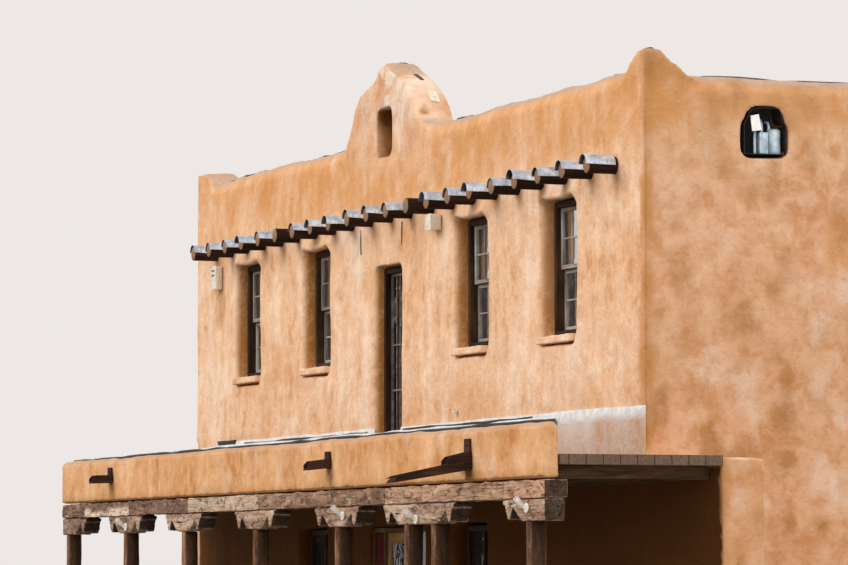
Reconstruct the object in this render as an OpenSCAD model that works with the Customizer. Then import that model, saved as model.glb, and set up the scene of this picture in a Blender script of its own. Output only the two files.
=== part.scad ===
// Two-storey adobe house with a bell gable, log ends and a porch on carved corbels.
// Frame: X along the street front, +Y into the house, +Z up, ground at Z = 0, front face at Y = 0.

/* [House] */
// width of the two-storey house along the street
house_w = 17200; // [16800:100:19000]
// depth of the house from street face to back face
house_d = 6600; // [5600:100:9000]
// thickness of the adobe walls
wall_t = 500; // [440:10:600]
// height of the parapet top above the ground
parapet_top = 7400; // [7300:10:8400]
// level of the upper floor
upper_floor_z = 3100; // [3050:10:3200]
// thickness of the upper floor
upper_floor_t = 200; // [150:10:230]
// level of the ground floor
ground_floor_z = 120; // [80:10:150]
// thickness of the earth roof
roof_t = 230; // [150:10:280]
// radius of the rounded parapet edges
round_r = 180; // [60:10:200]
// length of the square corners that carry the corner peaks
corner_len = 700; // [600:10:900]
// height of the corner peaks
peak_h = 175; // [150:5:300]

/* [Bell gable] */
// left foot of the bell gable along the street
gable_x0 = -1850; // [-1900:10:-1800]
// right foot of the bell gable along the street
gable_x1 = 1300; // [1250:10:1350]
// height of the bell gable above the parapet
gable_h = 985; // [850:5:1100]
// height of its shoulders above the parapet
shoulder_h = 490; // [420:10:520]
// radius of its round top
dome_r = 190; // [140:5:220]
// middle of the round top along the street
dome_x = -295; // [-340:5:-240]
// middle of the bell slit along the street
slit_x = -275; // [-320:5:-230]
// width of the bell slit
slit_w = 550; // [400:10:640]
// level of the slit sill
slit_z = 7090; // [7000:10:7200]
// height of the slit
slit_h = 610; // [400:10:650]

/* [Logs] */
// number of roof logs
log_n = 21; // [19:1:23]
// distance from a house corner to the nearest log axis
log_margin = 890; // [700:10:1400]
// diameter of a roof log
log_d = 210; // [180:5:230]
// height of the log axis
log_z = 6300; // [6280:5:6320]
// length of a log end outside the front wall
log_out = 370; // [250:10:450]
// clearance round a log in its wall socket
log_fit = 0.5; // [0.3:0.1:0.8]
// thickness of the sheet metal caps
cap_t = 4; // [2:1:8]
// length of a sheet metal cap
cap_len = 360; // [240:10:400]

/* [Windows] */
// width of the upper window openings
win_w = 1130; // [900:10:1250]
// height of the upper window openings
win_h = 1620; // [1300:10:1650]
// level of the upper window sills
win_z = 4430; // [4400:10:4500]
// distance from a house corner to the nearest upper window's middle
win_margin = 2450; // [2300:10:2700]
// distance from the middle of the front to the inner upper windows
win_inner = 3050; // [2800:10:3300]
// depth of the window frames behind the wall face
win_set = 150; // [80:10:220]
// width of the window frame members
frame_w = 70; // [50:5:90]
// depth of the window frame members
frame_d = 110; // [90:5:160]
// thickness of glass
glass_t = 8; // [6:1:12]
// thickness of the sill slabs
sill_t = 100; // [60:10:130]
// distance the sill slabs stand out from the wall
sill_out = 60; // [30:10:120]

/* [Upper door] */
// middle of the upper door along the street
udoor_x = -120; // [-150:10:0]
// width of the upper door opening
udoor_w = 1020; // [900:10:1100]
// level of the upper door head
udoor_top = 5630; // [5400:10:5700]

/* [Entrance] */
// left edge of the entrance opening
ent_x0 = -800; // [-850:10:-760]
// right edge of the entrance opening
ent_x1 = 1300; // [1260:10:1400]
// level of the entrance head
ent_top = 2200; // [2150:10:2260]
// width of the entrance frame members
ent_frame_w = 60; // [50:5:70]
// width of the hinged glazed door
door_w = 890; // [840:5:900]
// thickness of the hinged glazed door
door_t = 45; // [35:1:50]
// clearance round the hinged door
door_gap = 6; // [5:1:10]
// left edge of the hinged door
door_x = -304; // [-320:1:-290]

/* [Porch] */
// length of the porch past the right corner of the house
porch_past = 2150; // [1800:10:2600]
// distance of the porch front from the house front
porch_d = 2100; // [1800:10:2600]
// diameter of the porch posts
post_d = 230; // [190:5:240]
// underside of the corbels
corbel_z = 2160; // [2100:10:2200]
// height of a corbel
corbel_h = 240; // [200:5:260]
// length of a corbel
corbel_len = 1640; // [1400:10:1700]
// extra length of the corbel over the paired posts
pair_len = 760; // [700:10:860]
// thickness of a corbel from front to back
corbel_t = 250; // [235:5:270]
// height of the beam
beam_h = 220; // [180:5:260]
// thickness of the beam from front to back
beam_t = 300; // [280:10:340]
// height of the porch parapet above the beam
fascia_h = 630; // [500:10:700]
// thickness of the porch parapet
fascia_t = 200; // [180:10:220]
// height of the joists
joist_h = 150; // [110:5:160]
// width of the joists
joist_w = 110; // [90:5:130]
// distance between joists
joist_step = 774; // [600:1:900]
// distance between the paired posts
pair_step = 900; // [700:10:1000]
// level of the top of the sheet against the house front
flashing_top = 3520; // [3300:10:3600]
// thickness of the porch deck
deck_t = 110; // [80:5:130]

/* [Roof spouts] */
// width of a spout
spout_w = 200; // [170:5:230]
// height of a spout
spout_h = 115; // [100:5:140]
// board thickness of a spout
spout_t = 26; // [20:1:30]
// length of a spout outside the porch parapet
spout_out = 290; // [240:5:340]
// slope of the right spout
spout_slope = 0.21; // [0.11:0.02:0.35]
// length of the long trough under the right spout
trough_out = 940; // [700:10:1100]
// height of the slanting cut at the end of a spout
spout_nose = 45; // [20:5:70]

/* [Hidden] */
hw = house_w / 2;
adobe = [0.78, 0.60, 0.44];
wood = [0.45, 0.38, 0.31];
dark = [0.22, 0.16, 0.12];
metal = [0.66, 0.70, 0.72];
pale = [0.86, 0.84, 0.80];
glass = [0.35, 0.42, 0.46];
log_step = (house_w - 2 * log_margin) / (log_n - 1);
win_x = [-hw + win_margin, -win_inner, win_inner - 50, hw - win_margin - 200];
back_x = [-hw + 2500, -2050, 2050, hw - 2500];
shop_x = [-3200, 2980];
shop_w = 1100;
shop_h = 1300;
shop_z = 900;
beam_z = corbel_z + corbel_h;
fascia_z = beam_z + beam_h;
deck_z = fascia_z + joist_h;
deck_top = deck_z + deck_t;
roof_z = log_z + log_d / 2;
socket_d = log_d + 2 * log_fit;
porch_x0 = -hw;
porch_x1 = hw + porch_past;
pair_x = 6750;
post_x = [porch_x0 + 200, -5400, -2600, 540, 3800, pair_x - pair_step / 2,
    pair_x + pair_step / 2, porch_x1 - 550];
corbel_x = [post_x[1] + 50, post_x[2] + 60, post_x[3] + 60, post_x[4] + 50];
beam_ends = [-5120, -2280, 790, 3690, 5640, 9520];
lamp_x = [corbel_x[0] + 20, corbel_x[3] + 190, pair_x - 50, porch_x1 - 560];
lamp_z = [85, 130, 95, 160];
spout_z = [deck_top, deck_top, deck_top - 35];
spout_x = [porch_x0 + 2610, 3620, porch_x1 - 2270];
spout_clear = 15;
post_y = -porch_d + corbel_t / 2 + 15;
wall_len = house_d - 2 * wall_t;
door_h = ent_top - ent_frame_w - ground_floor_z - 2 * door_gap;

// box given by its two corners
module span(a, b) {
    translate(a) cube([b[0] - a[0], b[1] - a[1], b[2] - a[2]]);
}

// section of a wall with a rounded top, first axis across the wall
module wall_section(t, z0, z1) {
    translate([0, z0]) square([t, z1 - z0 - round_r]);
    translate([round_r, z0]) square([t - 2 * round_r, z1 - z0]);
    translate([round_r, z1 - round_r]) circle(r = round_r, $fn = 24);
    translate([t - round_r, z1 - round_r]) circle(r = round_r, $fn = 24);
}

// wall running along X from x0 to x1
module wall_along_x(x0, x1, y0, z0, z1) {
    translate([x0, y0, 0]) rotate([90, 0, 90])
        linear_extrude(height = x1 - x0) wall_section(wall_t, z0, z1);
}

// wall running along Y from y0 to y1
module wall_along_y(y0, y1, x0, z0, z1) {
    translate([x0, y1, 0]) rotate([90, 0, 0])
        linear_extrude(height = y1 - y0) wall_section(wall_t, z0, z1);
}

module log_sockets(y0, y1) {
    for (i = [0 : log_n - 1]) {
        translate([(i - (log_n - 1) / 2) * log_step, y0, log_z]) rotate([-90, 0, 0])
            cylinder(d = socket_d, h = y1 - y0, $fn = 24);
    }
}

module upper_window_holes() {
    for (x = win_x) {
        span([x - win_w / 2, -10, win_z], [x + win_w / 2, wall_t + 10, win_z + win_h]);
        span([x - win_w / 2 - 60, -10, win_z - sill_t],
            [x + win_w / 2 + 60, win_set, win_z]);
    }
}

module shop_window_holes() {
    for (x = shop_x) {
        span([x - shop_w / 2, -10, shop_z], [x + shop_w / 2, wall_t + 10, shop_z + shop_h]);
    }
}

module front_wall_part(x0, x1, z0) {
    color(adobe) difference() {
        union() {
            wall_along_x(x0, x1, 0, z0, parapet_top);
            square_top(max(x0, -hw), min(x1, -hw + corner_len));
            square_top(max(x0, gable_x0), min(x1, gable_x1));
            square_top(max(x0, hw - corner_len), min(x1, hw));
        }
        upper_window_holes();
        shop_window_holes();
        log_sockets(-10, wall_t + 10);
        span([udoor_x - udoor_w / 2, -10, upper_floor_z], [udoor_x + udoor_w / 2, wall_t + 10, udoor_top]);
        span([slit_x - slit_w / 2, -10, slit_z], [slit_x + slit_w / 2, wall_t + 10, parapet_top + 10]);
    }
}

// wall top left square where the gable or a corner peak stands on it
module square_top(x0, x1) {
    if (x1 > x0) span([x0, 0, parapet_top - round_r - 10], [x1, wall_t, parapet_top]);
}

module front_wall_left() {
    front_wall_part(-hw, ent_x0, 0);
}

module front_wall_middle() {
    front_wall_part(ent_x0, ent_x1, ent_top);
}

module front_wall_right() {
    front_wall_part(ent_x1, hw, 0);
}

module left_wall() {
    color(adobe) wall_along_y(wall_t, house_d - wall_t, -hw, 0, parapet_top - 100);
}

module right_wall() {
    color(adobe) difference() {
        wall_along_y(wall_t, house_d - wall_t, hw - wall_t, 0, parapet_top - 100);
        side_vent_hole();
    }
}

module side_vent_hole() {
    span([hw - 300, 1230, 6390], [hw + 10, 1760, 6720]);
    translate([hw - 300, 1495, 6720]) rotate([0, 90, 0]) cylinder(d = 530, h = 310, $fn = 32);
}

module back_wall() {
    color(adobe) difference() {
        wall_along_x(-hw, hw, house_d - wall_t, 0, parapet_top - 100);
        for (x = back_x) {
            span([x - win_w / 2, house_d - wall_t - 10, win_z],
                [x + win_w / 2, house_d + 10, win_z + win_h]);
        }
        for (x = [back_x[0], back_x[3]]) {
            span([x - win_w / 2, house_d - wall_t - 10, shop_z],
                [x + win_w / 2, house_d + 10, shop_z + shop_h]);
        }
        log_sockets(house_d - wall_t - 10, house_d - wall_t / 2);
    }
}

module ground_floor() {
    color(adobe) span([-hw + wall_t, wall_t, 0], [hw - wall_t, house_d - wall_t, ground_floor_z]);
}

module upper_floor() {
    color(wood) span([-hw + wall_t, wall_t, upper_floor_z - upper_floor_t],
        [hw - wall_t, house_d - wall_t, upper_floor_z]);
}

module roof_deck() {
    color(adobe) span([-hw + wall_t, wall_t, roof_z],
        [hw - wall_t, house_d - wall_t, roof_z + roof_t]);
}

// small raised corners of the parapet, highest at the outer corner
module corner_peaks() {
    color(adobe) for (m = [0, 1]) {
        mirror([m, 0, 0]) translate([hw, 0, parapet_top]) hull() {
            translate([-corner_len, 0, 0]) cube([corner_len, wall_t, 1]);
            translate([-corner_len * 0.86, 20, peak_h * 0.5])
                cube([corner_len * 0.86 - 10, wall_t * 0.72, 1]);
            translate([-corner_len * 0.62, 50, peak_h - 1])
                cube([corner_len * 0.62 - 70, wall_t * 0.36, 1]);
        }
    }
}

// outline of the bell gable: shoulders, neck and round top, with soft hollows between them
module gable_outline() {
    intersection() {
        translate([gable_x0, 0]) square([gable_x1 - gable_x0, gable_h]);
        offset(r = -150, $fn = 24) offset(delta = 150) {
            hull() {
                translate([gable_x0 + 530, shoulder_h - 330]) circle(r = 330, $fn = 40);
                translate([gable_x1 - 650, shoulder_h - 410]) circle(r = 330, $fn = 40);
                translate([dome_x, shoulder_h - 250]) circle(r = 360, $fn = 40);
                translate([gable_x0 + 110, -300]) square([gable_x1 - gable_x0 - 300, 100]);
            }
            hull() {
                translate([dome_x, gable_h - dome_r]) circle(r = dome_r, $fn = 40);
                translate([dome_x - 755, 480]) square([1670, 40]);
            }
            translate([gable_x0 - 300, -400]) square([gable_x1 - gable_x0 + 600, 380]);
        }
    }
}

// bell gable with a slit that goes on down into the wall
module bell_gable() {
    color(adobe) translate([0, wall_t, parapet_top]) rotate([90, 0, 0])
        linear_extrude(height = wall_t) difference() {
            gable_outline();
            translate([slit_x - slit_w / 2, -10])
                square([slit_w, slit_z + slit_h - parapet_top + 10]);
        }
}

// dark edge of the roofing along the parapet crest
module roof_edging() {
    color(dark) {
        span([-hw + corner_len + 50, wall_t - 180, parapet_top], [gable_x0 - 50, wall_t - 150,
            parapet_top + 14]);
        span([gable_x1 + 50, wall_t - 180, parapet_top], [hw - corner_len - 50, wall_t - 150,
            parapet_top + 14]);
    }
}

module roof_logs() {
    color(wood) for (i = [0 : log_n - 1]) {
        translate([(i - (log_n - 1) / 2) * log_step, -log_out, log_z]) rotate([-90, 0, 0])
            cylinder(d = log_d, h = house_d - wall_t / 2 - 1 + log_out, $fn = 24);
    }
}

// half-round sheets on the log ends, the sixth and thirteenth are missing
module log_caps() {
    color(metal) for (i = [0 : log_n - 1]) {
        if (i != 5 && i != 12) {
            translate([(i - (log_n - 1) / 2) * log_step, -log_out - 10, log_z]) rotate([-90, 0, 0])
                difference() {
                    cylinder(d = log_d + 1 + 2 * cap_t, h = cap_len, $fn = 24);
                    translate([0, 0, -1]) cylinder(d = log_d + 1, h = cap_len + 2, $fn = 24);
                    translate([-log_d, 0, -1]) cube([2 * log_d, 2 * log_d, cap_len + 2]);
                }
        }
    }
}

// rectangular frame standing in a wall, open inside
module frame_ring(x, w, z, h, y, d, m) {
    difference() {
        span([x - w / 2, y, z], [x + w / 2, y + d, z + h]);
        span([x - w / 2 + m, y - 10, z + m], [x + w / 2 - m, y + d + 10, z + h - m]);
    }
}

module upper_window_frames() {
    color(wood) for (x = win_x) {
        frame_ring(x, win_w, win_z, win_h, win_set, frame_d, frame_w);
    }
}

// lower sash inside, upper sash outside, meeting at half height
module upper_window_sashes() {
    color(wood) for (x = win_x) {
        frame_ring(x, win_w - 2 * frame_w, win_z + frame_w + (win_h - 2 * frame_w) / 2 + 1,
            (win_h - 2 * frame_w) / 2 - 1, win_set + 15, 40, 50);
        frame_ring(x, win_w - 2 * frame_w, win_z + frame_w,
            (win_h - 2 * frame_w) / 2 - 1, win_set + 57, 40, 50);
    }
}

module upper_window_glass() {
    color(glass) for (x = win_x) {
        sash_glass(x, win_z + frame_w + (win_h - 2 * frame_w) / 2 + 1, win_set + 30);
        sash_glass(x, win_z + frame_w, win_set + 72);
    }
}

module sash_glass(x, z, y) {
    span([x - win_w / 2 + frame_w + 50, y, z + 50],
        [x + win_w / 2 - frame_w - 50, y + glass_t, z + (win_h - 2 * frame_w) / 2 - 51]);
}

module upper_window_sills() {
    color(adobe) for (x = win_x) {
        span([x - win_w / 2 - 60, -sill_out, win_z - sill_t], [x + win_w / 2 + 60, win_set, win_z]);
    }
}

module back_window_frames() {
    color(wood) {
        for (x = back_x) {
            frame_ring(x, win_w, win_z, win_h, house_d - win_set - frame_d, frame_d, frame_w);
        }
        for (x = [back_x[0], back_x[3]]) {
            frame_ring(x, win_w, shop_z, shop_h, house_d - win_set - frame_d, frame_d, frame_w);
        }
    }
}

module back_window_glass() {
    color(glass) {
        for (x = back_x) {
            pane(x, win_w, win_z, win_h, house_d - win_set - frame_d / 2);
        }
        for (x = [back_x[0], back_x[3]]) {
            pane(x, win_w, shop_z, shop_h, house_d - win_set - frame_d / 2);
        }
    }
}

module pane(x, w, z, h, y) {
    span([x - w / 2 + frame_w, y, z + frame_w], [x + w / 2 - frame_w, y + glass_t, z + h - frame_w]);
}

module shop_window_frames() {
    color(dark) for (x = shop_x) {
        frame_ring(x, shop_w, shop_z, shop_h, win_set, frame_d, frame_w);
    }
}

module shop_window_glass() {
    color(glass) for (x = shop_x) {
        pane(x, shop_w, shop_z, shop_h, win_set + frame_d / 2);
    }
}

module upper_door_frame() {
    color(dark) difference() {
        span([udoor_x - udoor_w / 2, 120, upper_floor_z], [udoor_x + udoor_w / 2, 240, udoor_top]);
        span([udoor_x - udoor_w / 2 + frame_w, 100, upper_floor_z - 1],
            [udoor_x + udoor_w / 2 - frame_w, 260, udoor_top - frame_w]);
    }
}

module upper_door() {
    color(dark) span([udoor_x - udoor_w / 2 + frame_w, 190, upper_floor_z],
        [udoor_x + udoor_w / 2 - frame_w, 235, udoor_top - frame_w]);
}

// iron screen door with upright bars
module upper_screen_door() {
    color(metal) {
        frame_ring(udoor_x, udoor_w - 2 * frame_w, upper_floor_z + 10,
            udoor_top - frame_w - upper_floor_z - 10, 130, 30, 45);
        for (i = [1 : 5]) {
            translate([udoor_x + (i - 3) * 130, 145, upper_floor_z + 50])
                cylinder(d = 14, h = udoor_top - frame_w - upper_floor_z - 90, $fn = 12);
        }
        span([udoor_x - udoor_w / 2 + frame_w + 40, 135, upper_floor_z + 900],
            [udoor_x + udoor_w / 2 - frame_w - 40, 155, upper_floor_z + 940]);
        span([udoor_x - udoor_w / 2 + frame_w + 40, 135, upper_floor_z + 1500],
            [udoor_x + udoor_w / 2 - frame_w - 40, 155, upper_floor_z + 1530]);
    }
}

module entrance_threshold() {
    color(adobe) span([ent_x0, -40, 0], [ent_x1, wall_t, ground_floor_z]);
}

// frame with a place for the side panel, the door and the side glass
module entrance_frame() {
    color(wood) difference() {
        span([ent_x0, 30, ground_floor_z], [ent_x1, 150, ent_top]);
        entrance_hole(ent_x0 + ent_frame_w, door_x - door_gap - ent_frame_w);
        entrance_hole(door_x - door_gap, door_x + door_w + door_gap);
        entrance_hole(door_x + door_w + door_gap + ent_frame_w, ent_x1 - ent_frame_w);
    }
}

module entrance_hole(x0, x1) {
    span([x0, 0, ground_floor_z - 1], [x1, 200, ent_top - ent_frame_w]);
}

module entrance_side_panel() {
    color([0.30, 0.12, 0.10]) span([ent_x0 + ent_frame_w, 60, ground_floor_z],
        [door_x - door_gap - ent_frame_w, 100, ent_top - ent_frame_w]);
}

module entrance_side_glass() {
    color(glass) span([door_x + door_w + door_gap + ent_frame_w, 80, ground_floor_z],
        [ent_x1 - ent_frame_w, 80 + glass_t, ent_top - ent_frame_w]);
}

// hinged door leaf, opens inwards round its left inner edge
module entrance_door() {
    color([0.66, 0.48, 0.28]) difference() {
        span([door_x, 60, ground_floor_z + door_gap],
            [door_x + door_w, 60 + door_t, ground_floor_z + door_gap + door_h]);
        span([door_x + 130, 50, ground_floor_z + 900],
            [door_x + door_w - 130, 60 + door_t + 10, ground_floor_z + door_h - 120]);
    }
}

module entrance_door_glass() {
    color(glass) span([door_x + 130, 78, ground_floor_z + 900],
        [door_x + door_w - 130, 78 + glass_t, ground_floor_z + door_h - 120]);
}

module porch_posts() {
    color(wood) for (x = post_x) {
        translate([x, post_y, 0]) cylinder(d = post_d, h = corbel_z, $fn = 32);
    }
}

// half of a corbel from its seat out: slanting cheek, notch, hanging finger and thin board
module half_corbel(l, h) {
    tip = l * 0.055;
    polygon([[0, 0], [l * 0.34, 0], [l * 0.40, h * 0.07], [l * 0.60, h * 0.55],
        [l * 0.64, h * 0.55], [l * 0.64, h], [0, h]]);
    polygon([[l * 0.62, h], [l * 0.64, h * 0.50], [l * 0.745 - tip, h * 0.07 + tip],
        [l * 0.745 + tip, h * 0.07 + tip], [l * 0.84, h * 0.38], [l * 0.89, h * 0.80], [l * 0.89, h]]);
    translate([l * 0.745, h * 0.07 + tip]) circle(r = tip, $fn = 16);
    translate([l * 0.60, h * 0.90]) square([l * 0.40, h * 0.10]);
}

// carved corbel with a flat seat over its posts
module corbel(x, l, seat) {
    translate([x, post_y + corbel_t / 2, corbel_z]) rotate([90, 0, 0])
        linear_extrude(height = corbel_t) {
            translate([seat / 2, 0]) half_corbel((l - seat) / 2, corbel_h);
            translate([-seat / 2, 0]) mirror([1, 0]) half_corbel((l - seat) / 2, corbel_h);
            translate([-seat / 2, 0]) square([seat, corbel_h]);
        }
}

module porch_corbels() {
    color(wood) {
        for (x = corbel_x) {
            corbel(x, corbel_len, 20);
        }
        corbel(pair_x, corbel_len + pair_len, pair_len + 20);
        end_corbel(porch_x1, 1);
        end_corbel(porch_x0, -1);
    }
}

// corbel cut off at the end of the porch
module end_corbel(x, s) {
    translate([x, post_y + corbel_t / 2, corbel_z]) rotate([90, 0, 0])
        linear_extrude(height = corbel_t)
            mirror([s > 0 ? 1 : 0, 0]) {
                square([400, corbel_h]);
                translate([400, 0]) half_corbel(corbel_len / 2 + 40, corbel_h);
            }
}

// beams that meet over the corbels
module porch_beam() {
    starts = concat([porch_x0], beam_ends);
    ends = concat(beam_ends, [porch_x1 + 6]);
    color(wood) for (i = [0 : len(starts) - 1]) {
        span([starts[i], -porch_d, beam_z], [ends[i] - 6, -porch_d + beam_t, fascia_z]);
    }
}

module porch_joists() {
    color(wood) for (i = [0 : floor((porch_x1 - porch_x0 - 600) / joist_step)]) {
        span([porch_x0 + 300 + i * joist_step, -porch_d + fascia_t, fascia_z],
            [porch_x0 + 300 + joist_w + i * joist_step, 0, deck_z]);
    }
}

module porch_deck() {
    color(wood) span([porch_x0, -porch_d + fascia_t, deck_z], [porch_x1, 0, deck_top]);
}

// stretch of the porch parapet from x0 to x1 with a rounded crest
module parapet_stretch(x0, x1) {
    translate([x0, -porch_d, 0]) rotate([90, 0, 90])
        linear_extrude(height = x1 - x0) {
            translate([0, fascia_z]) square([fascia_t, fascia_h - 80]);
            translate([80, fascia_z]) square([fascia_t - 160, fascia_h]);
            translate([80, fascia_z + fascia_h - 80]) circle(r = 80, $fn = 24);
            translate([fascia_t - 80, fascia_z + fascia_h - 80]) circle(r = 80, $fn = 24);
        }
}

// four stretches that stop at the sides of the spouts
module porch_parapet() {
    starts = concat([porch_x0], [for (x = spout_x) x + spout_w / 2]);
    ends = concat([for (x = spout_x) x - spout_w / 2], [porch_x1]);
    color(adobe) for (i = [0 : 3]) {
        parapet_stretch(starts[i], ends[i]);
    }
}

// parapet below and above each spout
module spout_surrounds() {
    color(adobe) difference() {
        for (x = spout_x) {
            parapet_stretch(x - spout_w / 2, x + spout_w / 2);
        }
        for (i = [0 : 2]) {
            span([spout_x[i] - spout_w / 2 - 10, -porch_d - 10, spout_z[i]],
                [spout_x[i] + spout_w / 2 + 10, -porch_d + fascia_t + 10, spout_z[i] + spout_h]);
        }
    }
}

// sheets that seal the porch roof, along the parapet and against the house front
module porch_flashing() {
    color(pale) {
        span([porch_x0, -porch_d + fascia_t, deck_top + spout_h + spout_clear],
            [porch_x1, -porch_d + fascia_t + 6, fascia_z + fascia_h + 40]);
        span([porch_x0 + 1050, -12, deck_top], [udoor_x - udoor_w / 2 - 10, 0, flashing_top]);
        span([udoor_x + udoor_w / 2 + 10, -12, deck_top], [hw, 0, flashing_top]);
    }
}

module porch_end_wall() {
    color(adobe) span([hw, 0, 0], [porch_x1, wall_t, deck_top]);
}

// side of a sloping spout with its outer end cut on a slant
module spout_side(i, slope) {
    l = spout_out;
    translate([spout_x[i] - spout_w / 2, -porch_d, spout_z[i]]) rotate([90, 0, 90])
        linear_extrude(height = spout_w)
            polygon([[0, 0], [0, spout_h], [-l + spout_nose, spout_h - l * slope],
                [-l, spout_h - spout_nose - l * slope], [-l, -l * slope]]);
}

// sloping board of width w under spout i, from level z0 to z1, thinner by taper at its end
module slope_board(i, w, z0, z1, l, slope, taper) {
    translate([spout_x[i] - w / 2, -porch_d, spout_z[i]]) rotate([90, 0, 90])
        linear_extrude(height = w)
            polygon([[0, z0], [0, z1], [-l, z1 - l * slope], [-l, z0 + taper - l * slope]]);
}

// hollow of a sloping trough, open upwards in front of the back board
module trough_room(i, slope) {
    l = spout_out + 20;
    translate([spout_x[i] - spout_w / 2 + spout_t, -porch_d, spout_z[i]]) rotate([90, 0, 90])
        linear_extrude(height = spout_w - 2 * spout_t)
            polygon([[0, spout_t], [0, spout_h - 2], [-22, spout_h - 2], [-22, spout_h + 60],
                [-l, spout_h + 60], [-l, spout_t - l * slope]]);
}

// open wooden trough through the porch parapet, with a back board
module roof_spout(i, slope) {
    x = spout_x[i];
    z = spout_z[i];
    difference() {
        union() {
            span([x - spout_w / 2, -porch_d, z], [x + spout_w / 2, -porch_d + fascia_t, z + spout_h]);
            spout_side(i, slope);
            span([x - spout_w / 2 - spout_clear, -porch_d - 22, z + spout_h - 20],
                [x + spout_w / 2 + spout_clear, -porch_d, z + spout_h + 105]);
        }
        span([x - spout_w / 2 + spout_t, -porch_d - 0.5, z + spout_t],
            [x + spout_w / 2 - spout_t, -porch_d + fascia_t + 10, z + spout_h - 2]);
        trough_room(i, slope);
    }
}

module roof_spouts() {
    color(dark) {
        roof_spout(0, 0.03);
        roof_spout(1, 0.11);
        roof_spout(2, spout_slope);
    }
}

// long shallow trough in which the right spout lies
module spout_extension() {
    color(dark) difference() {
        slope_board(2, spout_w + 54, -90, 20, trough_out, spout_slope, 42);
        slope_board(2, spout_w + 4, 0, 40, trough_out + 20, spout_slope, 0);
    }
}

// small spot lamps on the fronts of four corbels
module porch_lamps() {
    color(pale) for (i = [0 : 3]) {
        translate([lamp_x[i], post_y - corbel_t / 2, corbel_z + lamp_z[i]]) {
            rotate([90, 0, 0]) cylinder(d = 90, h = 25, $fn = 20);
            translate([0, -45, -10]) rotate([0, 120, 0]) translate([0, 0, -70])
                cylinder(d1 = 60, d2 = 80, h = 150, $fn = 20);
            translate([-12, -50, -15]) cube([24, 50, 24]);
        }
    }
}

module wall_boxes() {
    color(pale) {
        span([-hw + 950, -110, 5760], [-hw + 1200, 0, 6110]);
        span([1690, -150, 5970], [1910, 0, 6180]);
        translate([2460, 0, flashing_top + 110]) rotate([90, 0, 0]) cylinder(d = 70, h = 60, $fn = 20);
    }
}

module side_vent_lining() {
    color(dark) difference() {
        span([hw - 300, 1230, 6390], [hw + 8, 1760, 6700]);
        span([hw - 310, 1240, 6400], [hw + 20, 1750, 6710]);
    }
}

ground_floor();
upper_floor();
front_wall_left();
front_wall_middle();
front_wall_right();
left_wall();
right_wall();
back_wall();
roof_deck();
corner_peaks();
bell_gable();
roof_edging();
roof_logs();
log_caps();
upper_window_frames();
upper_window_sashes();
upper_window_glass();
upper_window_sills();
back_window_frames();
back_window_glass();
shop_window_frames();
shop_window_glass();
upper_door_frame();
upper_door();
upper_screen_door();
entrance_threshold();
entrance_frame();
entrance_side_panel();
entrance_side_glass();
entrance_door();
entrance_door_glass();
porch_posts();
porch_corbels();
porch_beam();
porch_joists();
porch_deck();
porch_parapet();
spout_surrounds();
porch_flashing();
porch_end_wall();
roof_spouts();
spout_extension();
wall_boxes();
side_vent_lining();
porch_lamps();
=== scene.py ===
import math

import bpy
import numpy as np
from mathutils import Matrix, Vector


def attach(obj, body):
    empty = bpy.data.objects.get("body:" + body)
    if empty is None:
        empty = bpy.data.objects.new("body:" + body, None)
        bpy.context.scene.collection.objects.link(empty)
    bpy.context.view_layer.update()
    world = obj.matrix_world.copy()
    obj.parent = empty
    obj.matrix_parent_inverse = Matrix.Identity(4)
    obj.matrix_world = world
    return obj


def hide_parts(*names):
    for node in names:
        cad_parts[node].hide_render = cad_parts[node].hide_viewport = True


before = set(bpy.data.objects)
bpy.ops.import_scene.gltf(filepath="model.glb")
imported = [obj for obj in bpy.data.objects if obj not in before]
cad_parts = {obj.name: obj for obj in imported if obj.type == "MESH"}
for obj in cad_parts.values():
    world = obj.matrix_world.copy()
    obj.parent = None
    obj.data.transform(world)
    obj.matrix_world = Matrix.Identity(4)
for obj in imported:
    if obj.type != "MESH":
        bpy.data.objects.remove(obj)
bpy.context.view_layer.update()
view_layer = bpy.context.view_layer


# Earth walls
# Sun-dried earth blocks under thick earth plaster that is laid by hand. Parapet,
# bell gable and corner peaks are formed wet with them, as one rounded skin.

WALL, HALF, DEPTH = 0.5, 8.6, 6.6
FRONT_TOP, BACK_TOP = 7.4, 7.3
END_WALL_X, END_WALL_TOP = 10.75, 2.88
UPPER_WINDOWS = [-6.15, -3.05, 3.0, 5.95]
BACK_WINDOWS = [-6.1, -2.05, 2.05, 6.1]
SHOP_WINDOWS = [-3.2, 2.98]
WINDOW_HALF, WINDOW_FOOT, WINDOW_HEAD, SILL_FOOT = .565, 4.43, 6.05, 4.33
SHOP_HALF, SHOP_FOOT, SHOP_HEAD = .55, .9, 2.2
UPPER_DOORWAY, ENTRANCE = (-.63, .39, 3.1, 5.63), (-.8, 1.3, -.1, 2.2)
SLIT = (-0.60, -0.08, 7.11, 7.72)
GABLE_ROOT = 7.0
WALL_VOXEL, WALL_TRIANGLES = 0.05, 190000
FLASHED_FROM, FLASHED_TO = 2.8, 3.56

GABLE = [(-1.85, 0), (-1.80, .06), (-1.74, .22), (-1.60, .46), (-1.46, .56), (-1.28, .636), (-1.08, .68),
         (-.90, .725), (-.76, .78), (-.63, .85), (-.53, .91), (-.43, .955), (-.33, .98), (-.20, .955),
         (-.04, .865), (.06, .83), (.25, .765), (.45, .69), (.62, .60), (.76, .50), (.87, .39), (.93, .28),
         (.98, .18), (1.05, .09), (1.15, .05), (1.3, 0)]


def new_object(name, mesh, material=None):
    """A piece at the world origin with its place in its mesh."""
    piece = bpy.data.objects.new(name, mesh)
    bpy.context.scene.collection.objects.link(piece)
    if material:
        mesh.materials.append(material)
    return piece


def mesh_from(name, verts, faces):
    mesh = bpy.data.meshes.new(name)
    mesh.from_pydata([tuple(v) for v in verts], [], faces)
    mesh.update()
    return mesh


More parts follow.
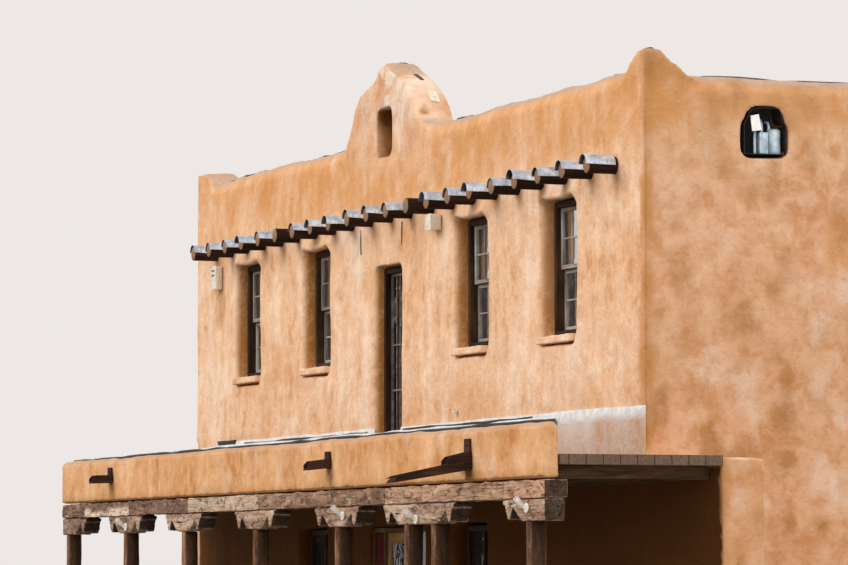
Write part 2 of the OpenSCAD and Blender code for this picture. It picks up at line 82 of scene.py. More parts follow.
def settled(rough, name, smooth=True):
    """Applies the modifiers of a rough object and keeps the result as a plain piece."""
    view_layer.update()
    mesh = bpy.data.meshes.new_from_object(rough.evaluated_get(bpy.context.evaluated_depsgraph_get()))
    bpy.data.objects.remove(rough)
    mesh.name = name
    if smooth:
        mesh.shade_smooth()
    return new_object(name, mesh)


BOX_FACES = ((0, 2, 3, 1), (4, 5, 7, 6), (0, 1, 5, 4), (2, 6, 7, 3), (0, 4, 6, 2), (1, 3, 7, 5))


def boxes(spans):
    """Corners and faces of several boxes, each given by its two corners."""
    verts, faces = [], []
    for low, high in spans:
        first = len(verts)
        for k in range(8):
            verts.append([(low, high)[k >> a & 1][a] for a in range(3)])
        faces += [[first + i for i in quad] for quad in BOX_FACES]
    return verts, faces


def block_skin(solids, holes):
    """One closed skin round boxes that touch, with other boxes cut out of them."""
    cuts = [sorted({round(c[a], 5) for box in solids + holes for c in box}) for a in range(3)]
    mid = [[(a + b) / 2 for a, b in zip(c, c[1:])] for c in cuts]
    grid = np.stack(np.meshgrid(*mid, indexing="ij"), -1)

    def inside(box):
        return np.all((grid > box[0]) & (grid < box[1]), -1)

    full = np.zeros(grid.shape[:3], bool)
    for box in solids:
        full |= inside(box)
    for box in holes:
        full &= ~inside(box)
    full = np.pad(full, 1)
    verts, faces, index = [], [], {}
    for axis in range(3):
        side_a, side_b = [a for a in range(3) if a != axis]
        step = np.roll(full, -1, axis)
        for i, j, k in np.argwhere(full != step):
            base = np.array([i, j, k])
            ring = []
            for da, db in ((0, 0), (1, 0), (1, 1), (0, 1)):
                at = base.copy()
                at[axis] += 1
                at[side_a] += da
                at[side_b] += db
                key = tuple(at - 1)
                if key not in index:
                    index[key] = len(verts)
                    verts.append([cuts[a][key[a]] for a in range(3)])
                ring.append(index[key])
            outward = full[i, j, k] == (axis != 1)
            faces.append(ring if outward else ring[::-1])
    return verts, faces


def prism_y(outline, y0, y1):
    """Closed prism along Y over (x, z) points that run clockwise from the left foot."""
    n = len(outline)
    verts = [(x, y, z) for y in (y0, y1) for x, z in outline]
    faces = [list(range(n))[::-1], [n + i for i in range(n)]]
    faces += [[i, (i + 1) % n, n + (i + 1) % n, n + i] for i in range(n)]
    return verts, [f[::-1] for f in faces]


def joined(*parts):
    verts, faces = [], []
    for v, f in parts:
        faces += [[i + len(verts) for i in face] for face in f]
        verts += list(v)
    return verts, faces


def smooth_step(t):
    return t * t * (3 - 2 * t)


def lumps(points, size, seed):
    """Smooth random height between -1 and 1 at each point, with lumps of the given size."""
    table = np.random.default_rng(seed).uniform(-1, 1, 4096)
    p = np.asarray(points) / np.asarray(size) + 1000.0
    cell = np.floor(p).astype(int)
    t = smooth_step(p - cell)
    total = np.zeros(len(p))
    for corner in range(8):
        d = np.array([corner & 1, corner >> 1 & 1, corner >> 2 & 1])
        i, j, k = (cell + d).T
        value = table[(i * 73 + j * 179 + k * 283 + (i * k) % 97) % 4096]
        total += value * np.prod(np.where(d, t, 1 - t), axis=1)
    return total


def points_of(mesh, what="co"):
    flat = np.empty(len(mesh.vertices) * 3)
    mesh.vertices.foreach_get(what, flat)
    return flat.reshape(-1, 3)


def normals_of(mesh):
    return points_of(mesh, "normal")


def move_points(mesh, points):
    mesh.vertices.foreach_set("co", points.ravel())
    mesh.update()


def hand_formed(name, parts, voxel, rounds):
    """Melts closed rough solids into one skin and rounds its edges."""
    rough = new_object(name + "_rough", mesh_from(name, *joined(*parts)))
    grid = rough.modifiers.new("grid", "REMESH")
    grid.mode, grid.voxel_size, grid.adaptivity = "VOXEL", voxel, 0.0
    soft = rough.modifiers.new("soft", "SMOOTH")
    soft.factor, soft.iterations = 0.5, rounds
    return settled(rough, name)


def thinned(piece, ratio):
    """Drops the faces that a flat stretch doesn't need."""
    thin = piece.modifiers.new("thin", "DECIMATE")
    thin.ratio = ratio
    return settled(piece, piece.name)


def put(mesh, name, values):
    """Stores one number for each point of a mesh, which a material can read."""
    field = mesh.attributes.new(name, "FLOAT", "POINT")
    field.data.foreach_set("value", np.asarray(values, dtype=np.float32))


def wall_run(x0, x1, y0, y1, top, inset_x, inset_y):
    """A wall up to its rounded crest, which steps in as it rises."""
    runs = []
    for rise, back in ((0.17, 0.0), (0.09, 0.035), (0.04, 0.08), (0.0, 0.15)):
        runs.append(((x0 + back * inset_x, y0 + back * inset_y, 0.0),
                     (x1 - back * inset_x, y1 - back * inset_y, top - rise)))
    return runs


def ease(a, b, x):
    """Rises smoothly from 0 at a to 1 at b."""
    return smooth_step(np.clip((np.asarray(x) - a) / (b - a), 0, 1))


wall_solids = wall_run(-HALF, HALF, 0.0, WALL, FRONT_TOP, 0, 1)
wall_solids += wall_run(-HALF, HALF, DEPTH - WALL, DEPTH, BACK_TOP, 0, 1)
wall_solids += wall_run(-HALF, -HALF + WALL, 0.3, DEPTH - 0.1, BACK_TOP, 1, 0)
wall_solids += wall_run(HALF - WALL, HALF, 0.3, DEPTH - 0.1, BACK_TOP, 1, 0)
wall_solids.append(((HALF, 0.0, 0.0), (END_WALL_X, WALL, END_WALL_TOP)))


def opening(x0, x1, z0, z1, flare=0.0):
    """Hole through the front wall, flared towards the street on its left and top."""
    cuts = [((x0, -.1, z0), (x1 - .02, WALL + .1, z1))]
    if flare:
        cuts.append(((x0 - flare, -.1, z0), (x1 - .02, .05, z1 + flare * .5)))
        cuts.append(((x0 - flare * .45, -.1, z0), (x1 - .02, .10, z1 + flare * .2)))
    return cuts


wall_holes = [cut for x in UPPER_WINDOWS
              for cut in opening(x - WINDOW_HALF, x + WINDOW_HALF, WINDOW_FOOT, WINDOW_HEAD, .07)]
wall_holes += [cut for x in SHOP_WINDOWS
               for cut in opening(x - SHOP_HALF, x + SHOP_HALF, SHOP_FOOT, SHOP_HEAD, .04)]
wall_holes += opening(*UPPER_DOORWAY, .04) + opening(*ENTRANCE)
for places, foot, head in ((BACK_WINDOWS, WINDOW_FOOT, WINDOW_HEAD), (BACK_WINDOWS[::3], SHOP_FOOT, SHOP_HEAD)):
    wall_holes += [((x - WINDOW_HALF, DEPTH - WALL - .1, foot), (x + WINDOW_HALF, DEPTH + .1, head))
                   for x in places]
wall_holes.append(((SLIT[0], -.1, SLIT[2]), (SLIT[1], WALL + .1, 7.9)))
wall_holes += [((8.3, y0, z0), (8.7, y1, z1)) for y0, y1, z0, z1 in
               ((1.23, 1.77, 6.39, 6.78), (1.26, 1.72, 6.78, 6.88), (1.31, 1.69, 6.88, 6.95))]
sill_backs = [((x - .625, -.1, SILL_FOOT), (x + .475, .16, WINDOW_FOOT)) for x in UPPER_WINDOWS]


def gable_layers():
    """The gable as layers across its thickness, lower in front and behind, cut by its slit."""
    parts = []
    for size, y0, y1 in ((.955, 0, .5), (.98, .06, .46), (1.0, .12, .40)):
        outline = []
        for x, z in GABLE:
            shrink = 1 - (1 - size) * float(ease(0, .5, z))
            outline.append((-.3 + (x + .3) * shrink, FRONT_TOP + z * shrink))
        left = [p for p in outline if p[0] < SLIT[0]]
        right = [p for p in outline if p[0] > SLIT[1]]
        over = [(SLIT[0], left[-1][1])] + [p for p in outline if SLIT[0] < p[0] < SLIT[1]]
        over.append((SLIT[1], right[0][1]))
        parts += [prism_y(left + [over[0], (SLIT[0], GABLE_ROOT), (GABLE[0][0], GABLE_ROOT)], y0, y1),
                  prism_y([(SLIT[1], GABLE_ROOT), over[-1]] + right + [(GABLE[-1][0], GABLE_ROOT)], y0, y1),
                  prism_y([(SLIT[0] - .05, SLIT[3]), (SLIT[0] - .05, over[0][1] - .02)] + over[1:-1]
                          + [(SLIT[1] + .05, over[-1][1] - .02), (SLIT[1] + .05, SLIT[3])], y0, y1)]
    return parts


def corner_peak(side):
    """Small pyramid with a blunt top on a front corner of the parapet, long and low on the left."""
    rings = [(.75, .68, 7.22), (.64, .50, 7.33), (.50, .37, 7.43), (.34, .25, 7.525), (.22, .17, 7.585)]
    if side < 0:
        rings = [(.75, .70, 7.22), (.62, .60, 7.38), (.52, .54, 7.47), (.42, .48, 7.54), (.34, .44, 7.575)]
    verts = []
    for length, y1, z in rings:
        verts += [(side * x, y, z) for x, y in ((HALF - length, 0), (HALF, 0), (HALF, y1), (HALF - length, y1))]
    faces = [[0, 3, 2, 1], [16, 17, 18, 19]]
    for ring in (0, 4, 8, 12):
        faces += [[ring + i, ring + (i + 1) % 4, ring + 4 + (i + 1) % 4, ring + 4 + i] for i in range(4)]
    return verts, faces if side > 0 else [f[::-1] for f in faces]


def fixed(piece, slot, *nodes, body="house"):
    """The piece moves with a body and stands for its CAD nodes, where it has any."""
    if nodes:
        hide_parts(*nodes)
    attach(piece, body)
    return piece


adobe_walls = hand_formed("adobe_walls", [
    block_skin(wall_solids, wall_holes + sill_backs),
    *gable_layers(), corner_peak(1), corner_peak(-1)], voxel=WALL_VOXEL, rounds=3)
spots = points_of(adobe_walls.data)
outward = normals_of(adobe_walls.data)
swell = 0.016 * lumps(spots, (0.9, 0.9, 1.1), 3) + 0.011 * lumps(spots, (0.35, 0.35, 0.5), 4)
swell += 0.006 * lumps(spots, (0.16, 0.16, 0.2), 5)
swell += ease(6.9, 7.4, spots[:, 2]) * 0.02 * lumps(spots, (0.5, 0.5, 0.5), 6)
spare = 0.024 - 0.022 * np.clip(np.maximum(-outward[:, 1], abs(outward[:, 0])), 0, 1)
corner = (abs(abs(spots[:, 0]) - HALF) < .2) & (abs(spots[:, 1]) < .2)
swell += .055 * corner * np.clip(-outward[:, 1], 0, 1) * abs(outward[:, 0])
spots += outward * ((swell - spare) * ease(0.0, 0.1, spots[:, 2]))[:, None]
for x in UPPER_WINDOWS:
    aside = abs(spots[:, 0] - x)
    head = (1 - ease(.50, .74, aside)) * ease(5.98, 6.06, spots[:, 2]) * (1 - ease(6.10, 6.24, spots[:, 2]))
    spots[:, 1] -= .045 * head * (1 - ease(.0, .2, spots[:, 1]))
    spots[:, 2] -= .035 * head * (1 - ease(.0, .14, spots[:, 1])) * (1 - ease(.2, .6, aside))
spots[:, 2] = np.maximum(spots[:, 2], 0.0)
spots[:, 0] = np.clip(spots[:, 0], .002 - HALF, END_WALL_X - .002)
behind_sheet = (spots[:, 2] > FLASHED_FROM) & (spots[:, 2] < FLASHED_TO) & (spots[:, 1] < .02)
behind_sheet &= outward[:, 1] < -.5
spots[behind_sheet, 1] = np.maximum(spots[behind_sheet, 1], .003)
move_points(adobe_walls.data, spots)
adobe_walls = thinned(adobe_walls, WALL_TRIANGLES / (2 * len(adobe_walls.data.polygons)))
fixed(adobe_walls, "adobe", "front_wall_left", "front_wall_middle", "front_wall_right", "left_wall",
      "right_wall", "back_wall", "corner_peaks", "bell_gable", "porch_end_wall")


# Earth plaster
# Straw and clay plaster, rubbed on by hand and washed by rain. It is warm tan
# in front, pinker on the gable and the right side, and pale where it has worn.


def new_material(name):
    material = bpy.data.materials.new(name)
    material.use_nodes = True
    return material, material.node_tree.nodes["Principled BSDF"]


def plug_in(material, socket, value):
    if isinstance(value, bpy.types.NodeSocket):
        material.node_tree.links.new(value, socket)
    else:
        socket.default_value = value


def add_node(material, kind, inputs=None, **settings):
    """A shader node with its settings and its inputs, each a value or another node's output."""
    node = material.node_tree.nodes.new("ShaderNode" + kind)
    for key, value in settings.items():
        setattr(node, key, value)
    for key, value in (inputs or {}).items():
        plug_in(material, node.inputs[key], value)
    return node


def own_coordinates(material, stretch=(1, 1, 1)):
    """The piece's own coordinates in metres, stretched for a pattern with a direction."""
    at = add_node(material, "TexCoord").outputs["Object"]
    return add_node(material, "Mapping", {"Vector": at, "Scale": stretch}).outputs[0]


def noise(material, scale, detail, rough, twist=0.0, stretch=(1, 1, 1), at=None):
    """Noise over the piece's own coordinates, or over others given as at."""
    if at is None:
        at = own_coordinates(material, stretch)
    made = add_node(material, "TexNoise", {"Vector": at, "Scale": scale, "Detail": detail,
                                           "Roughness": rough, "Distortion": twist})
    return made.outputs["Fac"]


def between(material, value, low, high, out_low=0.0, out_high=1.0):
    """Maps a value from low..high to out_low..out_high with soft ends."""
    made = add_node(material, "MapRange", {"Value": value, "From Min": low, "From Max": high,
                                           "To Min": out_low, "To Max": out_high},
                    interpolation_type="SMOOTHSTEP")
    return made.outputs[0]


def blend_colours(material, amount, first, second):
    return add_node(material, "Mix", {0: amount, 6: first, 7: second}, data_type="RGBA").outputs[2]


def combine(material, first, second, how="ADD"):
    return add_node(material, "Math", {0: first, 1: second}, operation=how).outputs[0]


def times(material, first, second):
    return combine(material, first, second, "MULTIPLY")


def stored(material, name):
    return add_node(material, "Attribute", attribute_name=name).outputs["Fac"]


def relief(material, shader, height, depth, below=None):
    """Raises the surface by a height pattern that spans the given depth in metres."""
    inputs = {"Height": height, "Distance": depth, "Strength": 1.0}
    if below is not None:
        inputs["Normal"] = below
    out = add_node(material, "Bump", inputs).outputs["Normal"]
    plug_in(material, shader.inputs["Normal"], out)
    return out


def rgb(*screen):
    """A screen colour of three numbers from 0 to 255 as a linear one."""
    linear = [v / 255 / 12.92 if v / 255 <= 0.04045 else ((v / 255 + 0.055) / 1.055) ** 2.4 for v in screen]
    return (*linear, 1.0)


def plaster(name, light, middle, dark):
    material, shader = new_material(name)
    wide = noise(material, 0.9, 4, .6, .4)
    streaks = noise(material, 3.6, 4, .6, .4, (1, 1, .35))
    patches = noise(material, 3.4, 5, .66, .25)
    strokes = noise(material, 13.0, 4, .68, .8, (1, 1, .8))
    specks = noise(material, 90.0, 2, .7)
    mottle = noise(material, 2.2, 4, .65, .2)
    tone = between(material, wide, .30, .70, 0, .34)
    for pattern in (streaks, patches):
        tone = combine(material, tone, between(material, pattern, .30, .70, 0, .33))
    colour = blend_colours(material, between(material, tone, .12, .50), dark, middle)
    colour = blend_colours(material, between(material, tone, .48, .86), colour, light)
    colour = blend_colours(material, between(material, strokes, .48, .68, 0, .45), colour, light)
    colour = blend_colours(material, between(material, strokes, .45, .30, 0, .30), colour, dark)
    colour = blend_colours(material, between(material, specks, .56, .72, 0, .25), colour, dark)
    rosy = blend_colours(material, between(material, patches, .34, .62), rgb(206, 142, 96), rgb(230, 176, 138))
    # Stored marks tint the plaster. The last two are dark browns that hold painted shade as well as stains and wet:
    # in the reveals, below the logs, in the slit and the niche, under the porch and along the parapet foot.
    for mark, low, high, tint, pattern in (("pink", .30, .70, rosy, mottle),
                                           ("worn", .36, .60, rgb(244, 220, 197), patches),
                                           ("ochre", .25, .65, rgb(214, 150, 92), mottle),
                                           ("crest", .20, .60, rgb(180, 150, 127), strokes),
                                           ("stain_and_shade", .15, .60, rgb(166, 112, 54), strokes),
                                           ("painted_shade_and_wet", .00, .60, rgb(92, 54, 22), patches)):
        broken_up = between(material, pattern, low, high, .45, 1.0)
        colour = blend_colours(material, times(material, stored(material, mark), broken_up), colour, tint)
    plug_in(material, shader.inputs["Base Color"], colour)
    shader.inputs["Roughness"].default_value = 0.92
    shader.inputs["Specular IOR Level"].default_value = 0.08
    washed = relief(material, shader, patches, .035)
    rubbed = relief(material, shader, strokes, .012, washed)
    relief(material, shader, specks, .003, rubbed)
    return material


adobe = plaster("adobe", rgb(248, 214, 184), rgb(236, 190, 152), rgb(214, 156, 108))
adobe_walls.data.materials.append(adobe)
LOG_GAP, LOG_X0, LOG_COUNT = 0.771, -7.71, 21
REVEAL_DEPTHS = (.95, 1, .97, .80)


def near(value, low, high, soft):
    """1 between low and high, fading to 0 over the soft margin outside them."""
    return ease(low - soft, low, value) * (1 - ease(high, high + soft, value))


def reveal(x, y, z, x0, x1, z0, z1):
    """Browner plaster inside an opening of the front wall: stains, with painted shade of the recess."""
    return near(x, x0 - .02, x1, .10) * near(z, z0, z1, .06) * near(y, .07, .6, .07)


spots, outward = points_of(adobe_walls.data), normals_of(adobe_walls.data)
x, y, z = spots.T
stain_and_shade = np.zeros(len(x))
# Reveals of the upper windows, the upper doorway and the slit turn browner inside: partly stains, partly painted
# shade of the recess.
for centre, depth in zip(UPPER_WINDOWS, REVEAL_DEPTHS):
    hole = (centre - WINDOW_HALF, centre + WINDOW_HALF, SILL_FOOT, WINDOW_HEAD)
    stain_and_shade = np.maximum(stain_and_shade, depth * reveal(x, y, z, *hole))
stain_and_shade = np.maximum(stain_and_shade, reveal(x, y, z, *UPPER_DOORWAY))
stain_and_shade = np.maximum(stain_and_shade, .9 * reveal(x, y, z, *SLIT))
# Darker streaks below each log are drip stains together with a painted shadow of the log.
streak_length = np.random.default_rng(8).uniform(.18, .6, LOG_COUNT)
nearest = np.clip(np.round((x - LOG_X0) / LOG_GAP).astype(int), 0, LOG_COUNT - 1)
sideways = abs(x - LOG_X0 - nearest * LOG_GAP - .02 * lumps(spots, (.3, .3, .15), 21))
drips_and_shadow = (1 - ease(.05, .13, sideways)) * ease(6.28 - streak_length[nearest], 6.22, z) * (z < 6.4) * (y < .3)
stain_and_shade = np.maximum(stain_and_shade, .62 * drips_and_shadow)
for mark_x, mark_y, low, reach in ((8.6, 1.15, 7.0, .3), (8.6, 1.62, 5.9, .45), (-7.52, 0, 5.3, .5)):
    run = (abs(x - mark_x) < .25) & (y < 3)
    stain_and_shade = np.maximum(stain_and_shade, .45 * run * near(y, mark_y - .03, mark_y + .03, .08) * near(z, low, low + reach, .2))
side = ease(.55, .8, outward[:, 0]) * (x > 8.2)
front = ease(.55, .85, -outward[:, 1]) * (y < .12)
gable_face = near(x, -1.5, .8, .35) * ease(6.9, 7.25, z) * (y < .75)
pink = np.maximum(side * .95 * (1 - ease(5.9, 6.9, z + .35 * lumps(spots, (1, 1.1, 1), 27))), .90 * gable_face)
pink = np.maximum(pink, .30 * ease(.1, .8, lumps(spots, (1.6, 1.2, 1.4), 23)) + .25 * ease(7.2, 7.6, x) * (y < .2))
high_up = ease(6.2, 6.6, z) * front * (1 - gable_face)
high_up *= .72 + .40 * lumps(spots, (.9, .9, .5), 22) + .30 * lumps(spots, (.15, .3, .6), 45)
corner_line = ease(8.42, 8.50, x + .03 * lumps(spots, (.3, .3, .3), 44)) * (1 - ease(.05, .13, y))
corner_line *= .85 + .4 * lumps(spots, (.3, .3, .35), 28)
top_band = side * ease(6.2, 6.95, z + .25 * lumps(spots, (1, .8, .6), 29))
top_band *= .85 + .3 * lumps(spots, (.6, .6, .4), 30)
low_spots = .45 * front * ease(.2, .9, lumps(spots, (.9, 1, .9), 26))
low_spots += .6 * side * ease(.1, .6, lumps(spots, (.9, .5, .9), 34))
blotch = lumps(spots, (.5, .42, .5), 41) + .7 * lumps(spots, (.2, .2, .24), 42)
ochre = np.clip(np.maximum(np.maximum(high_up, top_band), np.maximum(corner_line, low_spots)), 0, 1)
flank = near(x, .30, 1.1, .12) * ease(7.42, 7.56, z) * (outward[:, 0] > .2)
crest = np.maximum(ease(.35, .85, outward[:, 2]) * ease(6.9, 7.15, z) * (1 - .75 * flank), .14 * gable_face)
worn = .60 * ease(.25, .9, lumps(spots, (.5, .5, .9), 24)) * front * (1 - high_up)
worn = np.maximum(worn, side * (z < 6.3) * (.15 + .35 * ease(6.2, 4.6, z)) * ease(.3, .9, blotch))
worn = np.maximum(worn, (.38 + .50 * ease(-.3, .1, x)) * gable_face * ease(-.6, .4, lumps(spots, (.3, .3, .4), 43)))
flaking = near(z - 8.11 + .38 * x, -.05, .05, .04) * near(x, -.45, .62, .06) * (y < .16)
flaking = np.maximum(flaking, near(x, .38, .56, .04) * near(z, 7.80, 7.95, .04) * (y < .14))
over_slit = near(x, -.53, -.06, .03) * near(z, 7.71, 7.76, .025) * (y < .1)
over_slit = np.maximum(over_slit, near(x, -.26, -.18, .03) * near(z, 7.76, 7.88, .03) * (y < .12))
wash = np.maximum(flaking * ease(-.35, .15, lumps(spots, (.10, .2, .10), 25)), over_slit)
worn = np.maximum(worn, 2.3 * wash)
worn = np.maximum(worn, .9 * near(x, 2.03, 2.22, .05) * near(z, 6.6, 7.02, .08) * front)
lower = ease(5.2, 4.2, z)
dusky = .15 * lower * side + (.30 + .28 * lower) * side * ease(-.2, -.8, blotch)
dusky += .42 * side * ease(7.1, 7.3, z) * (y < .7)
flank_spot = .9 * ease(.10, .04, np.sqrt((x - .98) ** 2 + (y - .10) ** 2 + (z - 7.575) ** 2))
stain_and_shade = np.maximum(stain_and_shade, np.maximum(np.clip(dusky, 0, .8), flank_spot))
stain_and_shade = np.maximum(stain_and_shade, .35 * corner_line)
# Painted shade: the wall under the porch roof turns dark brown, and so do the inside of the slit in the bell gable
# and the vent niche, darker further in.
painted_shade_and_wet = near(z, 0, 2.7, .12) * (y < .45) * (y > -.2) * near(x, .10 - HALF, END_WALL_X - .10, .05)
in_slit = near(x, -.62, -.06, .02) * near(z, 7.1, 7.74, .02) * near(y, .04, .7, .03)
in_slit *= np.clip(.8 * ease(.06, .22, y) + .9 * ease(7.40, 7.66, z), 0, 1)
niche = (x > 8.2) * (x < 8.575) * near(y, 1.20, 1.80, .02) * near(z, 6.36, 7.0, .02)
inside = near(x, -8.05, 8.05, .05) * near(y, .45, 6.15, .03)
painted_shade_and_wet = np.where(z < 2.95, 1.5 * painted_shade_and_wet, 0) * (1 - inside)
for mark, strength in (("stain_and_shade", np.maximum(stain_and_shade, .4 * ease(.55, .0, z))), ("pink", pink), ("worn", worn),
                       ("ochre", ochre), ("crest", .9 * crest * (1 - inside)),
                       ("painted_shade_and_wet", np.maximum(painted_shade_and_wet, np.maximum(niche, in_slit)))):
    put(adobe_walls.data, mark, strength)


# Floors, roof and threshold
# Beaten earth on the ground and on the roof, old boards upstairs and on the porch.
# These flat layers keep their plain shape and get their finish here.


def beaten_earth(name, light, dark):
    material, shader = new_material(name)
    broad = noise(material, 1.4, 5, .6)
    gravel = noise(material, 46.0, 3, .7)
    cells = {"Vector": own_coordinates(material), "Scale": 2.6, "Randomness": 1.0}
    cracks = add_node(material, "TexVoronoi", cells, feature="DISTANCE_TO_EDGE").outputs["Distance"]
    colour = blend_colours(material, between(material, broad, .3, .7), dark, light)
    colour = blend_colours(material, between(material, gravel, .55, .75, 0, .5), colour, dark)
    colour = blend_colours(material, between(material, cracks, .012, .0, 0, .6), colour, rgb(92, 70, 50))
    plug_in(material, shader.inputs["Base Color"], colour)
    shader.inputs["Roughness"].default_value = 0.95
    ground_relief = relief(material, shader, gravel, .010)
    relief(material, shader, broad, .03, ground_relief)
    return material


def boards(name, light, dark, board, run):
    """Old planks side by side, each its own tone, with dark joints between them."""
    material, shader = new_material(name)
    at = own_coordinates(material)
    parts = add_node(material, "SeparateXYZ", {"Vector": at})
    across = combine(material, parts.outputs[1 - run], board, "DIVIDE")
    plank = combine(material, across, 0.0, "FLOOR")
    tone = add_node(material, "TexWhiteNoise", {"W": plank}, noise_dimensions="1D").outputs["Value"]
    joint = across
    for how, second in (("FRACT", 0.0), ("SUBTRACT", .5), ("ABSOLUTE", 0.0)):
        joint = combine(material, joint, second, how)
    fibres = noise(material, 1.0, 5, .6, .3, (2, 60, 60) if run == 0 else (60, 2, 60))
    colour = blend_colours(material, between(material, fibres, .3, .7), dark, light)
    colour = blend_colours(material, times(material, tone, .45), colour, dark)
    colour = blend_colours(material, between(material, joint, .465, .49), colour, rgb(30, 22, 16))
    plug_in(material, shader.inputs["Base Color"], colour)
    shader.inputs["Roughness"].default_value = 0.8
    hollow = between(material, joint, .465, .49, 1.0, 0.0)
    relief(material, shader, fibres, .004, relief(material, shader, hollow, .012))
    return material


def finish_nodes(material, *names):
    """Gives a material to CAD nodes that keep their own shape."""
    for name in names:
        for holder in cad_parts[name].material_slots:
            holder.material = material


finish_nodes(beaten_earth("floor_earth", rgb(186, 150, 118), rgb(150, 118, 90)),
             "ground_floor", "entrance_threshold")
finish_nodes(beaten_earth("roof_earth", rgb(196, 166, 138), rgb(160, 130, 102)), "roof_deck")
finish_nodes(boards("floor_boards", rgb(150, 120, 92), rgb(104, 78, 56), .18, 1), "upper_floor")
finish_nodes(boards("porch_boards", rgb(128, 100, 78), rgb(84, 62, 46), .20, 0), "porch_deck")


# Roof edging
# A thin dark strip of roofing that just shows along the front parapet, nailed down
# with wavy edges. This is its finish, and the strips are laid with the gable bits.


def old_sheet(name, light, dark, rust, shine=.45, mark=None, tint=None):
    """Thin painted or galvanised sheet with dents, dull patches, some rust and a stored mark that tints it: dust on
    the flashing, painted shade inside the log caps.
    """
    material, shader = new_material(name)
    patches = noise(material, 7.0, 5, .65, .5)
    scuffs = noise(material, 60.0, 3, .6, 0.0, (1, .4, 1))
    spots_of_rust = noise(material, 24.0, 5, .75)
    colour = blend_colours(material, between(material, patches, .3, .7), dark, light)
    colour = blend_colours(material, between(material, scuffs, .55, .8, 0, .5), colour, light)
    rusty = between(material, spots_of_rust, .60, .72)
    colour = blend_colours(material, rusty, colour, rust)
    # The stored mark tints the sheet: dust on the flashing, painted shade inside the log caps.
    if mark:
        dirt_and_shade = times(material, stored(material, mark), between(material, patches, .25, .65, .6, 1))
        colour = blend_colours(material, dirt_and_shade, colour, tint)
    plug_in(material, shader.inputs["Base Color"], colour)
    dull = between(material, patches, .3, .7, shine, shine + .25)
    plug_in(material, shader.inputs["Roughness"], combine(material, dull, times(material, rusty, .3)))
    shader.inputs["Metallic"].default_value = 0.35
    relief(material, shader, scuffs, .0015, relief(material, shader, patches, .012))
    return material


roofing_strip = old_sheet("roofing_strip", rgb(62, 54, 50), rgb(34, 30, 28), rgb(84, 58, 42), .6)


# Roof logs
# Peeled pine trunks that carry the roof and stick out through the front wall.
# Their ends are weathered brown and checked, the part under the caps dark.


def tube_faces(rings, per):
    """Faces that join rings of points, per points in each, and close both ends."""
    faces = [[a + k, a + (k + 1) % per, a + per + (k + 1) % per, a + per + k]
             for a in range(0, (rings - 1) * per, per) for k in range(per)]
    return faces + [list(range(per))[::-1], [(rings - 1) * per + k for k in range(per)]]


def stick(start, end, width, height, corner, seed, marks=None, per_corner=2, rough=.003, chamfer=None):
    """A timber from start to end with worn corners: its points, faces and grain coordinates."""
    start, end = np.array(start, float), np.array(end, float)
    length = np.linalg.norm(end - start)
    axis = (end - start) / length
    up = np.array((0, 0, 1.0)) if abs(axis[2]) < .9 else np.array((0, 1.0, 0))
    side = np.cross(axis, up)
    side /= np.linalg.norm(side)
    up = np.cross(side, axis)
    chamfer = corner * .6 if chamfer is None else chamfer
    marks = [0, chamfer] + [m for m in (marks or []) if chamfer < m < length - chamfer] + [length - chamfer, length]
    section = []
    for cx, cy, turn in ((1, 1, 0), (-1, 1, 1), (-1, -1, 2), (1, -1, 3)):
        for k in range(per_corner):
            angle = (turn + (k / (per_corner - 1) if per_corner > 1 else .5)) * math.pi / 2
            section.append((cx * (width / 2 - corner) + corner * math.cos(angle),
                            cy * (height / 2 - corner) + corner * math.sin(angle)))
    section = np.array(section)
    verts, grain = [], []
    shift = np.array((seed * 7.31, seed * 3.17, seed * 1.93))
    for i, mark in enumerate(marks):
        inset = chamfer if i in (0, len(marks) - 1) else 0
        ring = section - np.sign(section) * np.minimum(inset, abs(section))
        for u, v in ring:
            verts.append(start + axis * mark + side * u + up * v)
            grain.append((mark, u, v))
    verts, grain = np.array(verts), np.array(grain) + shift
    wear = .5 + .5 * lumps(grain, (.22, .05, .05), seed)
    wear = wear + .4 * (.5 + .5 * lumps(grain, (.06, .02, .02), seed + 1))
    middle = start + axis * ((verts - start) @ axis)[:, None]
    inward = middle - verts
    inward /= np.maximum(np.linalg.norm(inward, axis=1), 1e-6)[:, None]
    verts = verts + inward * (wear * rough)[:, None]
    return verts, [f[::-1] for f in tube_faces(len(marks), len(section))], grain


def steps(length, size):
    return [size * i for i in range(1, int(length / size) + 1)]


def put_grain(mesh, grain):
    """Stores coordinates that run along each timber, which the wood reads."""
    field = mesh.attributes.new("grain", "FLOAT_VECTOR", "POINT")
    field.data.foreach_set("vector", np.asarray(grain, dtype=np.float32).ravel())


def crisp(mesh, sharp):
    """Smooth faces, with hard edges where they meet at more degrees than sharp."""
    mesh.shade_smooth()
    mesh.set_sharp_from_angle(angle=math.radians(sharp))


def carpentry(name, sticks, material, sharp=35):
    """One piece of several timbers, with the grain of each stored for its material."""
    mesh = mesh_from(name, *joined(*[(verts, faces) for verts, faces, _ in sticks]))
    put_grain(mesh, np.concatenate([grain for _, _, grain in sticks]))
    crisp(mesh, sharp)
    return new_object(name, mesh, material)


def grain_noise(material, stretch, detail, rough, twist=0.0):
    """Noise along the grain that is stored on each timber."""
    at = add_node(material, "Attribute", attribute_name="grain").outputs["Vector"]
    at = add_node(material, "Mapping", {"Vector": at, "Scale": stretch}).outputs[0]
    return noise(material, 1.0, detail, rough, twist, at=at)


